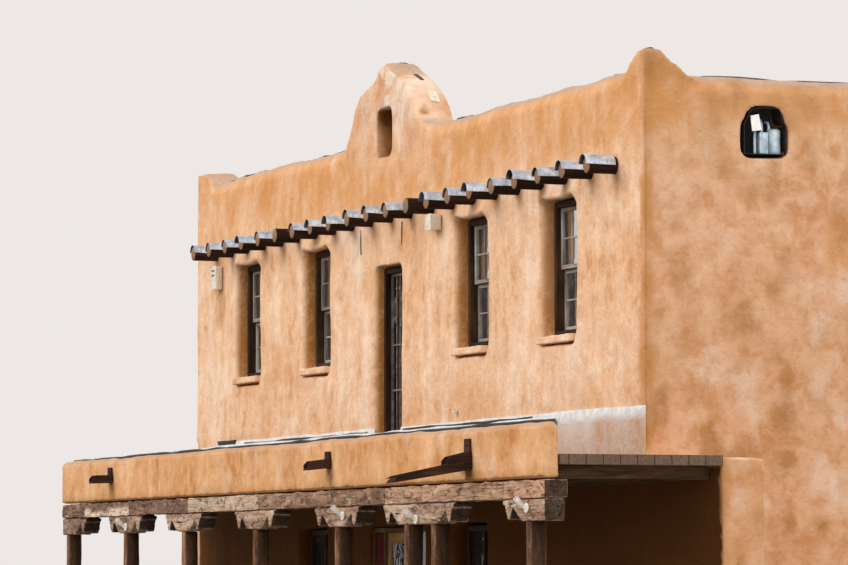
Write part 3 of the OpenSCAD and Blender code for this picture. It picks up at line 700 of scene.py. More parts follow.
def weathered_wood(name, light, middle, dark, cracks=.5, depth=.004, ends=(), tones=(), pits_and_highlights=0.0):
    """Old timber with long fibres and drying cracks, and pits with painted shade in them and pale painted
    highlights.

    ends are (axis, way, colour) of faces turned one way, its end or side grain: the real end grain of the logs, and
    painted shade on the faces of posts, corbels and beam joints turned away from the light; tones are (stored mark,
    colour).
    """
    material, shader = new_material(name)
    fibres = grain_noise(material, (2.2, 48, 48), 5, .6, .4)
    broad = grain_noise(material, (1.2, 5, 5), 4, .6, .3)
    splits = grain_noise(material, (1.6, 34, 34), 3, .5, .25)
    pores = grain_noise(material, (20, 160, 160), 2, .6)
    colour = blend_colours(material, between(material, fibres, .30, .68), dark, middle)
    colour = blend_colours(material, between(material, broad, .40, .72, 0, .85), colour, light)
    colour = blend_colours(material, between(material, pores, .55, .8, 0, .4), colour, dark)
    split = times(material, between(material, splits, .37, .31), between(material, broad, .35, .60, .2, 1.0))
    colour = blend_colours(material, times(material, split, cracks), colour, rgb(24, 16, 11))
    for mark, tint in tones:
        amount = times(material, stored(material, mark), between(material, fibres, .35, .60, .35, 1))
        colour = blend_colours(material, amount, colour, tint)
    # Pits: dark spots with painted shade in them, and pale painted highlights beside them.
    if pits_and_highlights:
        pit_pattern = grain_noise(material, (5, 15, 15), 4, .7, .9)
        for low, high, most, tint in ((.50, .36, pits_and_highlights, rgb(44, 29, 21)),
                                      (.56, .68, .5 * pits_and_highlights, rgb(232, 208, 182))):
            colour = blend_colours(material, between(material, pit_pattern, low, high, 0, most), colour, tint)
    # Faces turned one way take a colour: real end grain on the logs, painted shade elsewhere.
    for axis, way, end_grain_and_shade_colour in ends:
        facing = add_node(material, "SeparateXYZ", {"Vector": add_node(material, "NewGeometry").outputs["Normal"]})
        turned_to = between(material, times(material, facing.outputs[axis], float(way)), .45, .80)
        amount = times(material, turned_to, between(material, pores, .3, .7, .75, 1))
        colour = blend_colours(material, amount, colour, end_grain_and_shade_colour)
    plug_in(material, shader.inputs["Base Color"], colour)
    plug_in(material, shader.inputs["Roughness"], between(material, broad, .3, .7, .72, .9))
    shader.inputs["Specular IOR Level"].default_value = 0.1
    height = combine(material, times(material, fibres, .35), split, "SUBTRACT")
    relief(material, shader, height, depth)
    return material


def new_tree(name, inputs):
    """A geometry tree with named inputs; gives the tree, its input node and a maker of linked nodes."""
    tree = bpy.data.node_groups.new(name, "GeometryNodeTree")
    for label, kind, value in inputs:
        socket = tree.interface.new_socket(label, in_out="INPUT", socket_type="NodeSocket" + kind)
        if value is not None:
            socket.default_value = value
    tree.interface.new_socket("Result", in_out="OUTPUT", socket_type="NodeSocketGeometry")
    given = tree.nodes.new("NodeGroupInput")

    def made(kind, links=None, **settings):
        node = tree.nodes.new(kind)
        for key, value in settings.items():
            setattr(node, key, value)
        for key, value in (links or {}).items():
            if isinstance(value, bpy.types.NodeSocket):
                tree.links.new(value, node.inputs[key])
            else:
                node.inputs[key].default_value = value
        return node

    return tree, given.outputs, made


def grown(name, tree, base, values):
    """Runs a geometry tree on a base mesh and keeps the result as a plain piece."""
    holder = new_object(name + "_base", base)
    modifier = holder.modifiers.new("grow", "NODES")
    modifier.node_group = tree
    for item in tree.interface.items_tree:
        if item.in_out == "INPUT" and item.name in values:
            modifier[item.identifier] = values[item.name]
    return settled(holder, name, smooth=False)


def row_tree():
    """Copies the base along a line, each rolled a little, without the places left bare."""
    tree, given, made = new_tree("row_of_like_pieces", [
        ("Geometry", "Geometry", None), ("Count", "Int", 2), ("Start", "Vector", (0, 0, 0)),
        ("Spacing", "Float", 1.0), ("Roll", "Float", 0.0), ("Shrink", "Float", 0.0), ("First Bare", "Int", -1),
        ("Second Bare", "Int", -1), ("Seed", "Int", 1), ("Material", "Material", None)])
    gap = made("ShaderNodeCombineXYZ", {"X": given["Spacing"]})
    line = made("GeometryNodeMeshLine", {"Count": given["Count"], "Start Location": given["Start"],
                                         "Offset": gap.outputs[0]}, mode="OFFSET")
    index = made("GeometryNodeInputIndex").outputs[0]
    same = [made("FunctionNodeCompare", {2: index, 3: given[label]}, data_type="INT", operation="EQUAL").outputs[0]
            for label in ("First Bare", "Second Bare")]
    either = made("FunctionNodeBooleanMath", {0: same[0], 1: same[1]}, operation="OR").outputs[0]

    def spread(label, low_factor, offset):
        low = made("ShaderNodeMath", {0: given[label], 1: low_factor}, operation="MULTIPLY").outputs[0]
        seed = made("ShaderNodeMath", {0: given["Seed"], 1: offset}, operation="ADD").outputs[0]
        return made("FunctionNodeRandomValue", {2: low, 3: given[label], 7: index, 8: seed},
                    data_type="FLOAT").outputs[1]

    turn = made("ShaderNodeCombineXYZ", {"Y": spread("Roll", -1.0, 0.0)}).outputs[0]
    small = made("ShaderNodeMath", {0: 1.0, 1: spread("Shrink", 0.0, 20.0)}, operation="SUBTRACT").outputs[0]
    size = made("ShaderNodeCombineXYZ", {"X": small, "Y": 1.0, "Z": small}).outputs[0]
    kept = made("GeometryNodeDeleteGeometry", {"Geometry": line.outputs[0], "Selection": either}, domain="POINT")
    copies = made("GeometryNodeInstanceOnPoints", {"Points": kept.outputs[0], "Instance": given["Geometry"],
                                                   "Rotation": turn, "Scale": size})
    real = made("GeometryNodeRealizeInstances", {"Geometry": copies.outputs[0]})
    painted = made("GeometryNodeSetMaterial", {"Geometry": real.outputs[0], "Material": given["Material"]})
    tree.links.new(painted.outputs[0], tree.nodes.new("NodeGroupOutput").inputs[0])
    return tree


def own_grain(piece, start, spacing):
    """Moves the stored grain of each copy in a row, so that no two look the same."""
    field = piece.data.attributes["grain"]
    grain = np.empty(len(field.data) * 3, dtype=np.float32)
    field.data.foreach_get("vector", grain)
    grain = grain.reshape(-1, 3)
    number = np.round((points_of(piece.data)[:, 0] - start) / spacing)
    grain += number[:, None] * np.array((3.7, 1.3, 2.1), dtype=np.float32)
    field.data.foreach_set("vector", grain.ravel())


LOG_WIDTH, LOG_Z, LOG_OUT, LOG_IN = 0.21, 6.30, -0.36, 6.349
row = row_tree()
log_marks = [.03, .08, .14, .20, .26, .32, .38, 1.5, 3.2, 5.0, 6.4]
one_log = stick((0, LOG_OUT, 0), (0, LOG_IN, 0), LOG_WIDTH, LOG_WIDTH, LOG_WIDTH / 2, 5,
                log_marks, 6, .006, .006)
log_wood = weathered_wood("log_wood", rgb(70, 46, 32), rgb(42, 27, 19), rgb(22, 14, 10), .8, .006,
                          ends=[(1, -1, rgb(158, 122, 94))])
log_base = carpentry("log_base", [one_log], log_wood, 50)
roof_logs = grown("logs", row, log_base.data, {
    "Count": LOG_COUNT, "Start": (LOG_X0, 0, LOG_Z), "Spacing": LOG_GAP, "Roll": .9, "Shrink": .04,
    "Seed": 4, "Material": log_wood})
bpy.data.objects.remove(log_base)
own_grain(roof_logs, LOG_X0, LOG_GAP)
fixed(roof_logs, "old_wood", "roof_logs")


# Log caps
# Half rounds of galvanised sheet nailed over the log ends against the rain.
# Each is dented on its own way, and two logs have lost theirs.

CAP_FRONT, CAP_BACK, CAP_INNER, CAP_SHEET = -0.39, -0.02, 0.1055, 0.004
BARE_LOGS = (5, 12)


def cap_shape():
    """A half round of sheet, closed all round, which is dented later, most at its lower edges."""
    rows, turns = 12, 20
    verts, faces = [], []
    for skin in (0, 1):
        radius = CAP_INNER + CAP_SHEET * (1 - skin)
        for i in range(rows + 1):
            y = CAP_FRONT + (CAP_BACK - CAP_FRONT) * i / rows
            for k in range(turns + 1):
                a = math.pi * k / turns
                verts.append((radius * math.cos(a), y, radius * math.sin(a)))
    per = (rows + 1) * (turns + 1)

    def at(skin, i, k):
        return skin * per + i * (turns + 1) + k

    for i in range(rows):
        for k in range(turns):
            for skin in (0, 1):
                quad = [at(skin, i, k), at(skin, i, k + 1), at(skin, i + 1, k + 1), at(skin, i + 1, k)]
                faces.append(quad if skin else quad[::-1])
    for i in range(rows):
        for k in (0, turns):
            quad = [at(0, i, k), at(0, i + 1, k), at(1, i + 1, k), at(1, i, k)]
            faces.append(quad if k else quad[::-1])
    for k in range(turns):
        for i in (0, rows):
            quad = [at(0, i, k), at(0, i, k + 1), at(1, i, k + 1), at(1, i, k)]
            faces.append(quad[::-1] if i else quad)
    mesh = mesh_from("cap_base", verts, faces)
    # The inner skin is marked; the finish paints it near black, as shade under the cap.
    put(mesh, "inside", [0.0] * per + [1.0] * per)
    return mesh


# The galvanised sheet turns near black on the inner skin of each cap, painted shade.
galvanised = old_sheet("galvanised", rgb(222, 236, 250), rgb(154, 178, 204), rgb(84, 70, 62), .26,
                       "inside", rgb(30, 23, 18))
galvanised.node_tree.nodes["Principled BSDF"].inputs["Metallic"].default_value = .55
caps = grown("log_end_caps", row, cap_shape(), {
    "Count": LOG_COUNT, "Start": (LOG_X0, 0, LOG_Z), "Spacing": LOG_GAP, "Roll": .07,
    "First Bare": BARE_LOGS[0], "Second Bare": BARE_LOGS[1], "Seed": 9, "Material": galvanised})
dented = points_of(caps.data)
from_axis = dented - np.array((0, 0, LOG_Z))
from_axis[:, 0] -= LOG_X0 + np.round((dented[:, 0] - LOG_X0) / LOG_GAP) * LOG_GAP
from_axis[:, 1] = 0
dent = .5 + .5 * lumps(dented, (.09, .11, .09), 31)
free = ease(.25, 1.0, np.abs(from_axis[:, 0]) / CAP_INNER) * .35 + .65
dented -= from_axis / CAP_INNER * (.007 * dent * free)[:, None]
number = np.round((dented[:, 0] - LOG_X0) / LOG_GAP).astype(int)
chance = np.random.default_rng(12)
wider, slid, tipped = (chance.uniform(a, b, LOG_COUNT)[number] for a, b in ((.0, .10), (-.035, .02), (-.07, .03)))
dented += from_axis * wider[:, None]
dented[:, 1] += slid
dented[:, 2] += (dented[:, 1] - CAP_BACK) * tipped
move_points(caps.data, dented)
crisp(caps.data, 50)
fixed(caps, "grey_sheet", "log_caps")


# Upper windows
# Pine sash windows, two sashes of six panes, in dark frames set back in the wall.
# Stiles, rails and glazing bars are planed square and the paint has gone grey.

FRAME, FRAME_FRONT, FRAME_BACK, PANE_WIDE = .07, .15, .26, .298
SASH_HALF, SASH_WOOD, BAR_WOOD, MEETING = .495, .05, .022, 5.24
DEEP_FRONT, DEEP_BACK, UPPER_SASH, LOWER_SASH = .165, .32, .225, .270


def member(low, high, seed, corner=.004, rough=.0012, step=.35):
    """A squared timber between two corners, its grain along its longest side."""
    low, high = np.array(low, float), np.array(high, float)
    size = high - low
    along = int(np.argmax(size))
    start = (low + high) / 2
    end = start.copy()
    start[along], end[along] = low[along], high[along]
    width, height = np.delete(size, along)
    return stick(start, end, width, height, min(corner, width / 2.2, height / 2.2), seed,
                 steps(size[along], step), 2, rough)


def wooden_ring(x0, x1, z0, z1, y0, y1, wood, seed, **shape):
    """Stiles with rails between them, butted so that the joints show."""
    return [member((x0, y0, z0), (x0 + wood, y1, z1), seed, **shape),
            member((x1 - wood, y0, z0), (x1, y1, z1), seed + 1, **shape),
            member((x0 + wood - .001, y0 + .001, z0), (x1 - wood + .001, y1 - .001, z0 + wood), seed + 2, **shape),
            member((x0 + wood - .001, y0 + .001, z1 - wood), (x1 - wood + .001, y1 - .001, z1), seed + 3, **shape)]


def sash(x, z0, z1, y0, seed):
    """A sash of three by two panes: its ring, two upright bars and one cross bar."""
    parts = wooden_ring(x - SASH_HALF, x + SASH_HALF, z0, z1, y0, y0 + .04, SASH_WOOD, seed)
    inner = 2 * (SASH_HALF - SASH_WOOD)
    for i in (1, 2):
        at = x - inner / 2 + inner * i / 3
        parts.append(member((at - BAR_WOOD / 2, y0 + .004, z0 + SASH_WOOD - .002),
                            (at + BAR_WOOD / 2, y0 + .032, z1 - SASH_WOOD + .002), seed + 4 + i, .003))
    at = z0 + SASH_WOOD + (z1 - z0 - 2 * SASH_WOOD) / 2
    parts.append(member((x - inner / 2 - .002, y0 + .007, at - BAR_WOOD / 2),
                        (x + inner / 2 + .002, y0 + .029, at + BAR_WOOD / 2), seed + 9, .003))
    return parts


frame_wood = weathered_wood("frame_wood", rgb(86, 62, 44), rgb(60, 41, 28), rgb(34, 22, 15), .5, .003)
sash_wood = weathered_wood("sash_wood", rgb(204, 198, 190), rgb(150, 140, 130), rgb(86, 70, 58), .55, .0025)
outer = [part for i, x in enumerate(UPPER_WINDOWS) for part in wooden_ring(
    x - WINDOW_HALF, x + WINDOW_HALF, WINDOW_FOOT, WINDOW_HEAD, DEEP_FRONT, DEEP_BACK, FRAME,
    40 + 9 * i, corner=.006)]
fixed(carpentry("window_frames", outer, frame_wood), "old_wood", "upper_window_frames")
leaves = [part for i, x in enumerate(UPPER_WINDOWS) for part in
          sash(x, MEETING + .001, WINDOW_HEAD - FRAME, UPPER_SASH, 90 + 31 * i)
          + sash(x, WINDOW_FOOT + FRAME, MEETING - .001, LOWER_SASH, 105 + 31 * i)]
fixed(carpentry("window_sashes", leaves, sash_wood), "old_wood", "upper_window_sashes")


def old_glass(name, tint):
    """Slightly wavy window glass with a dusty bloom."""
    material, shader = new_material(name)
    waves = noise(material, 5.0, 2, .5, .6, (1, 1, .6))
    dust = noise(material, 3.0, 5, .7)
    dusty = blend_colours(material, between(material, dust, .45, .85), tint, rgb(150, 146, 140))
    plug_in(material, shader.inputs["Base Color"], dusty)
    plug_in(material, shader.inputs["Roughness"], between(material, dust, .45, .8, .03, .16))
    shader.inputs["Transmission Weight"].default_value = 0.55
    shader.inputs["Specular IOR Level"].default_value = 0.3
    shader.inputs["IOR"].default_value = 1.5
    relief(material, shader, waves, .004)
    return material


def assembled(name, parts, material=None, sharp=None):
    """One piece of several lists of points and faces, with hard edges where asked."""
    mesh = mesh_from(name, *joined(*parts))
    if sharp:
        crisp(mesh, sharp)
    return new_object(name, mesh, material)


window_glass = old_glass("window_glass", rgb(76, 75, 76))
finish_nodes(window_glass, "back_window_glass", "shop_window_glass", "entrance_side_glass", "entrance_door_glass")
chance = np.random.default_rng(17)
panes = []
for x in UPPER_WINDOWS:
    for y, z0, z1 in ((UPPER_SASH + .019, MEETING + .045, 5.935), (LOWER_SASH + .019, 4.545, MEETING - .045)):
        for column in range(3):
            for row_up in range(2):
                left = x - .447 + PANE_WIDE * column
                foot = z0 + (z1 - z0) * row_up / 2
                lean = chance.uniform(-.0035, .0035, 4)
                verts = [(left + PANE_WIDE * (k & 1), y + .004 * (k >> 2) + lean[k & 3],
                          foot + (z1 - z0) / 2 * (k >> 1 & 1)) for k in range(8)]
                panes.append((verts, BOX_FACES))
fixed(assembled("window_panes", panes, window_glass), "window_glass", "upper_window_glass")


# Window sills
# Thick slabs of earth plaster patted over a board, paler than the wall, with
# rounded uneven edges that stand out below each upper window.

slabs = boxes([((x - .622, -.058, SILL_FOOT + .002), (x + .47, .17, WINDOW_FOOT)) for x in UPPER_WINDOWS])
sills = hand_formed("window_sills", [slabs], voxel=.018, rounds=4)
spots = points_of(sills.data)
spots += normals_of(sills.data) * (.006 * lumps(spots, (.09, .06, .05), 35) - .004)[:, None]
move_points(sills.data, spots)
sills = thinned(sills, .6)
put(sills.data, "worn", .35 * ease(.3, .9, normals_of(sills.data)[:, 2]) + .1)
sills.data.materials.append(adobe)
fixed(sills, "adobe", "upper_window_sills")


# Back and lower windows
# Plain wooden casements with one upright and one cross bar, brown and weathered,
# butted together and set into the depth of the wall.


def casement(x, half, z0, z1, y0, y1, seed, wood=.07):
    middle, reach = (z0 + z1) / 2, half - wood + .001
    return wooden_ring(x - half, x + half, z0, z1, y0, y1, wood, seed, corner=.006) + [
        member((x - .025, y0 + .02, z0 + wood - .001), (x + .025, y1 - .02, z1 - wood + .001), seed + 5),
        member((x - reach, y0 + .028, middle - .018), (x + reach, y1 - .028, middle + .018), seed + 6)]


back = [part for i, x in enumerate(BACK_WINDOWS) for part in
        casement(x, WINDOW_HALF, WINDOW_FOOT, WINDOW_HEAD, DEPTH - FRAME_BACK, DEPTH - FRAME_FRONT, 300 + 11 * i)]
back += [part for i, x in enumerate(BACK_WINDOWS[::3]) for part in
         casement(x, WINDOW_HALF, SHOP_FOOT, SHOP_HEAD, DEPTH - FRAME_BACK, DEPTH - FRAME_FRONT, 360 + 11 * i)]
fixed(carpentry("back_windows", back, frame_wood), "old_wood", "back_window_frames")
shop_wood = weathered_wood("shop_wood", rgb(96, 70, 52), rgb(66, 46, 33), rgb(36, 25, 18), .4, .003)
shop = [part for i, x in enumerate(SHOP_WINDOWS) for part in
        casement(x, SHOP_HALF, SHOP_FOOT, SHOP_HEAD, FRAME_FRONT, FRAME_BACK, 400 + 11 * i)]
fixed(carpentry("shop_windows", shop, shop_wood), "dark_wood", "shop_window_frames")


# Upper door
# A dark plank door over the porch roof, nearly black with age: upright planks on
# cross battens, hung in a heavy squared frame.

door_dark = weathered_wood("upper_door_wood", rgb(74, 53, 38), rgb(50, 35, 25), rgb(26, 18, 13), .5, .004)
UPPER_X, UPPER_HALF, UPPER_FOOT, UPPER_HEAD = -.12, .51, 3.1, 5.63
upper_left, upper_right = UPPER_X - UPPER_HALF, UPPER_X + UPPER_HALF
posts_and_head = [member((upper_left, .12, UPPER_FOOT), (upper_left + FRAME, .30, UPPER_HEAD), 440, corner=.008),
                  member((upper_right - FRAME, .12, UPPER_FOOT), (upper_right, .30, UPPER_HEAD), 441, corner=.008),
                  member((upper_left + FRAME, .121, UPPER_HEAD - FRAME), (upper_right - FRAME, .299, UPPER_HEAD),
                         442, corner=.008)]
fixed(carpentry("upper_door_posts", posts_and_head, door_dark), "dark_wood", "upper_door_frame")
plank = .88 / 5
first = upper_left + FRAME
planks = [member((first + plank * i + .001, .255, UPPER_FOOT),
                 (first + plank * (i + 1) - .001, .293, UPPER_HEAD - FRAME), 450 + i, corner=.005) for i in range(5)]
planks += [member((first + .01, .2505, z), (first + .87, .257, z + .14), 460 + i, corner=.003)
           for i, z in enumerate((3.3, 4.25, 5.2))]
fixed(carpentry("upper_door_planks", planks, door_dark), "dark_wood", "upper_door")


# Iron screen door
# Square frame and round upright bars, forged and welded, painted pale grey.
# Collars and scrolls are bent from thin rod, and the paint is chipped to rust.


def round_ring(centre, side, other, radius, sides):
    """Points of a circle in the plane of two directions."""
    turns = [2 * math.pi * k / sides for k in range(sides)]
    return [tuple(centre + (side * math.cos(a) + other * math.sin(a)) * radius) for a in turns]


def turned(profile, start, towards, sides=16):
    """A closed round shape: distances along its axis with the radius at each."""
    axis = Vector(towards).normalized()
    side = axis.orthogonal().normalized()
    other = axis.cross(side)
    verts = []
    for along, radius in profile:
        verts += round_ring(Vector(start) + axis * along, side, other, radius, sides)
    return verts, tube_faces(len(profile), sides)


def rod(points, radius, sides=8):
    """A round rod bent along points, closed at both ends."""
    points = [Vector(p) for p in points]
    verts, side = [], None
    for i, point in enumerate(points):
        ahead = (points[min(i + 1, len(points) - 1)] - points[max(i - 1, 0)]).normalized()
        side = ahead.orthogonal().normalized() if side is None else (side - ahead * side.dot(ahead)).normalized()
        verts += round_ring(point, side, ahead.cross(side), radius, sides)
    return verts, tube_faces(len(points), sides)


def curl(x, z, y, reach, turns, flip, tall):
    """Points of a C scroll whose two ends roll inwards."""
    arm = []
    for i in range(15):
        t = i / 14
        angle = t * turns * 2 * math.pi
        size = reach * (1 - .72 * t)
        arm.append((math.sin(angle) * size, size * math.cos(angle)))
    top = [(x + flip * u, y, z + tall / 2 - reach + v) for u, v in arm]
    foot = [(x + flip * u, y, z - tall / 2 + reach - v) for u, v in arm]
    return top[::-1] + foot


def painted_iron(name, paint, worn, rust):
    """Painted metal, dull in patches and chipped to its rust."""
    material, shader = new_material(name)
    dull = noise(material, 9.0, 5, .65)
    chips = noise(material, 42.0, 4, .7)
    colour = blend_colours(material, between(material, dull, .3, .7), worn, paint)
    colour = blend_colours(material, between(material, chips, .60, .68), colour, rust)
    plug_in(material, shader.inputs["Base Color"], colour)
    plug_in(material, shader.inputs["Roughness"], between(material, chips, .55, .68, .42, .85))
    shader.inputs["Metallic"].default_value = 0.2
    relief(material, shader, chips, .0012, relief(material, shader, dull, .003))
    return material


SCREEN_Y, SCREEN_HALF, SCREEN_FOOT, SCREEN_HEAD = .215, .44, 3.11, 5.56
COLLAR = [(-.018, .007), (-.014, .011), (-.006, .0135), (.006, .0135), (.014, .011), (.018, .007)]
screen_left, screen_right = UPPER_X - SCREEN_HALF, UPPER_X + SCREEN_HALF
iron = [boxes([((screen_left, .201, SCREEN_FOOT), (screen_left + .035, .229, SCREEN_HEAD)),
               ((screen_right - .035, .201, SCREEN_FOOT), (screen_right, .229, SCREEN_HEAD)),
               ((screen_left + .034, .202, SCREEN_FOOT), (screen_right - .034, .228, SCREEN_FOOT + .035)),
               ((screen_left + .034, .202, SCREEN_HEAD - .035), (screen_right - .034, .228, SCREEN_HEAD)),
               ((screen_left + .03, .208, 4.006), (screen_right - .03, .222, 4.030)),
               ((screen_left + .03, .208, 4.606), (screen_right - .03, .222, 4.626))])]
for bar in (-2, -1, 0, 1, 2):
    bar_x = UPPER_X + .13 * bar
    iron.append(rod([(bar_x, SCREEN_Y, SCREEN_FOOT + .04), (bar_x, SCREEN_Y, SCREEN_HEAD - .04)], .0065))
    iron += [turned(COLLAR, (bar_x, SCREEN_Y, collar_z), (0, 0, 1), 12) for collar_z in (3.42, 4.32, 5.36)]
for flip in (1, -1):
    for aside, z, reach, way, tall, thick in ((.065, 5.08, .075, 1, .46, .0055), (.33, 5.08, .05, -1, .34, .005),
                                              (.065, 3.64, .05, 1, .30, .005)):
        scroll = curl(UPPER_X + flip * aside, z, SCREEN_Y, reach, .80, flip * way, tall)
        iron.append(rod(scroll, thick, 6))
iron_paint = painted_iron("grey_iron_paint", rgb(150, 142, 134), rgb(96, 84, 76), rgb(56, 38, 30))
fixed(assembled("iron_screen_door", iron, iron_paint, 40), "grey_iron", "upper_screen_door")


# Street entrance
# Framed front in the shade of the porch: a red boarded panel, a light wooden
# door with a tall pane that opens inwards, and a fixed pane on the right.

entry_wood = weathered_wood("entry_wood", rgb(150, 116, 84), rgb(116, 84, 58), rgb(70, 48, 32), .4, .003)
ENTRY_FOOT, ENTRY_TOP, DOOR_LEFT, DOOR_RIGHT, DOOR_FOOT, DOOR_HEAD = .12, 2.2, -.304, .586, .126, 2.134
entry = [member((x, .03, ENTRY_FOOT), (x + w, .15, ENTRY_TOP), 500 + i, corner=.008) for i, (x, w) in
         enumerate(((-.8, .06), (-.37, .06), (.592, .06), (1.24, .06)))]
entry += [member((x0 - .001, .031, ENTRY_TOP - .06), (x1 + .001, .149, ENTRY_TOP), 506 + i, corner=.008)
          for i, (x0, x1) in enumerate(((-.74, -.37), (-.31, .592), (.652, 1.24)))]
fixed(carpentry("entrance_posts", entry, entry_wood), "old_wood", "entrance_frame")
red_paint = weathered_wood("red_paint", rgb(124, 46, 40), rgb(92, 30, 28), rgb(56, 20, 18), .3, .002)
strip = .37 / 4
panel = [member((-.74 + strip * i + .0008, .064, ENTRY_FOOT),
                (-.74 + strip * (i + 1) - .0008, .098, 2.14), 515 + i) for i in range(4)]
panel += [member((-.739, .0605, z), (-.371, .068, z + .10), 520 + i) for i, z in enumerate((.14, 1.02, 2.03))]
fixed(carpentry("red_panel", panel, red_paint), "red_wood", "entrance_side_panel")
door_wood = weathered_wood("door_wood", rgb(214, 172, 120), rgb(188, 140, 88), rgb(132, 90, 52), .25, .002)
leaf = [member((DOOR_LEFT, .06, DOOR_FOOT), (-.174, .105, DOOR_HEAD), 530),
        member((.456, .06, DOOR_FOOT), (DOOR_RIGHT, .105, DOOR_HEAD), 531)]
leaf += [member((-.175, .061, z0), (.457, .104, z1), 532 + i)
         for i, (z0, z1) in enumerate(((2.0, DOOR_HEAD), (.86, 1.02), (DOOR_FOOT, .36)))]
leaf += [member((-.175, .070, .359), (.457, .095, .861), 535),
         member((-.12, .064, .41), (.402, .101, .81), 536, corner=.012)]
leaf += [member((x, .070, 1.018), (x + .012, .098, 2.002), 538, .003) for x in (-.175, .445)]
leaf += [member((-.165, .070, z), (.447, .098, z + .012), 540, .003) for z in (1.019, 1.989)]
fixed(carpentry("entrance_door_leaf", leaf, door_wood), "door_wood", "entrance_door", body="door")
dark_iron = painted_iron("dark_iron", rgb(64, 58, 52), rgb(40, 36, 33), rgb(88, 60, 44))
knob = [turned([(0, .024), (.004, .026), (.006, .012), (.03, .009), (.036, .020), (.05, .026), (.058, .018),
                (.06, .002)], (.522, .0605, 1.10), (0, -1, 0)),
        boxes([((.505, .058, 1.01), (.539, .0612, 1.19))])]
fixed(assembled("door_knob", knob, dark_iron, 40), "grey_iron", body="door")


# Porch posts
# Peeled round trunks that stand on the ground and carry the corbels, grey-brown,
# with long drying cracks.

PORCH_LEFT, PORCH_RIGHT, PORCH_FRONT, POST_Y = -8.6, 10.75, -2.1, -1.96
POSTS = [-8.4, -5.4, -2.6, .54, 3.8, 6.3, 7.2, 10.2]
TRUNK, CORBEL_FOOT = .23, 2.16
# The side of each trunk turned to +X, away from the light, is painted dark brown as shade.
post_wood = weathered_wood("post_wood", rgb(178, 134, 100), rgb(124, 84, 58), rgb(62, 40, 27), .9, .009,
                           ends=[(0, 1, rgb(54, 36, 25))], pits_and_highlights=.45)
trunks = [stick((x, POST_Y, 0), (x, POST_Y, CORBEL_FOOT + .002), TRUNK, TRUNK, TRUNK / 2, 600 + 3 * i,
                steps(CORBEL_FOOT, .10), 8, .009, .004) for i, x in enumerate(POSTS)]
fixed(carpentry("post_trunks", trunks, post_wood, 50), "old_wood", "porch_posts")


# Corbels
# Bolsters sawn and carved from thick timber: a slanting cheek, a notch, a
# hanging finger and a thin board on each side of the seat over the post.

CORBEL_HIGH, CORBEL_THICK, CORBEL_LONG, PAIR_LONG = .24, .25, 1.64, .76
CORBELS = [-5.35, -2.54, .60, 3.85]
PAIR_X, HALF_CORBEL = 6.75, 1.26
CORBEL_GREY = [.70, .45, .10, 0, .10, 0, 0]


def half_outline(length, high):
    """Lower edge of half a corbel from its seat outwards, as (distance, height)."""
    shape = ((0, 0), (.33, 0), (.37, .05), (.44, .18), (.52, .35), (.59, .51), (.635, .62), (.665, .61),
             (.695, .42), (.72, .22), (.745, .10), (.78, .05), (.82, .08), (.86, .20), (.895, .42), (.92, .62),
             (.94, .73), (1, .76), (1, 1))
    return [(length * along, high * up) for along, up in shape]


def corbel_solid(x, length, seat):
    half = (length - seat) / 2
    right = [(x + seat / 2 + d, CORBEL_FOOT + h) for d, h in half_outline(half, CORBEL_HIGH)]
    left = [(2 * x - px, pz) for px, pz in right[::-1]]
    return prism_y(left + right, POST_Y - CORBEL_THICK / 2, POST_Y + CORBEL_THICK / 2)


def end_solid(x, inward):
    """Corbel cut off at the end of the porch; it has only its inner half."""
    outline = [(x, CORBEL_FOOT + CORBEL_HIGH), (x, CORBEL_FOOT)]
    outline += [(x + inward * (.4 + d), CORBEL_FOOT + h)
                for d, h in half_outline(CORBEL_LONG / 2 + .04, CORBEL_HIGH)]
    return prism_y(outline[::inward], POST_Y - CORBEL_THICK / 2, POST_Y + CORBEL_THICK / 2)


let_in = [(x - CORBEL_LONG / 2, x + CORBEL_LONG / 2) for x in CORBELS]
let_in += [(PAIR_X - 1.2, PAIR_X + 1.2), (PORCH_LEFT, PORCH_LEFT + HALF_CORBEL),
           (PORCH_RIGHT - HALF_CORBEL, PORCH_RIGHT)]
tongues = boxes([((a + .03, POST_Y - .085, 2.38), (b - .03, POST_Y + .085, 2.43)) for a, b in let_in])
corbels = hand_formed("corbels", [tongues] + [corbel_solid(x, CORBEL_LONG, .02) for x in CORBELS]
                      + [corbel_solid(PAIR_X, CORBEL_LONG + PAIR_LONG, PAIR_LONG + .02),
                         end_solid(PORCH_RIGHT, -1), end_solid(PORCH_LEFT, 1)], voxel=.014, rounds=1)
spots = points_of(corbels.data)
spots += normals_of(corbels.data) * (.003 * lumps(spots, (.14, .08, .04), 61)
                                     + .005 * lumps(spots, (.06, .04, .03), 62) - .006)[:, None]
move_points(corbels.data, spots)
corbels = thinned(corbels, .42)
centres = np.array([PORCH_LEFT] + CORBELS + [PAIR_X, PORCH_RIGHT])
which = np.argmin(abs(points_of(corbels.data)[:, :1] - centres), axis=1)
put_grain(corbels.data, points_of(corbels.data) + which[:, None] * 2.7)
# The corbel faces turned to +X, away from the light, are painted near black as shade.
corbel_wood = weathered_wood("corbel_wood", rgb(220, 190, 166), rgb(182, 145, 120), rgb(112, 80, 60), 1.0, .010,
                             ends=[(0, 1, rgb(30, 21, 16))], pits_and_highlights=.75, tones=[("grey", rgb(92, 71, 61))])
put(corbels.data, "grey", np.array(CORBEL_GREY)[which])
corbels.data.materials.append(corbel_wood)
corbels.data.set_sharp_from_angle(angle=math.radians(48))
fixed(corbels, "old_wood", "porch_corbels")


# Porch beam
# Squared timbers laid end to end with their joints over the corbels, hewn with
# an adze, checked by the sun, each with its own tone.

BEAM_FOOT, BEAM_HEAD, BEAM_BACK = 2.40, 2.62, -1.8
BEAM_ENDS = [-8.6, -5.12, -2.28, .79, 3.69, 5.64, 9.52, 10.75]
BEAM_PALE = [.0, .05, .70, .10, .0, .18, .12]
BEAM_GREY = [.95, .85, .20, .60, .72, .0, .0]


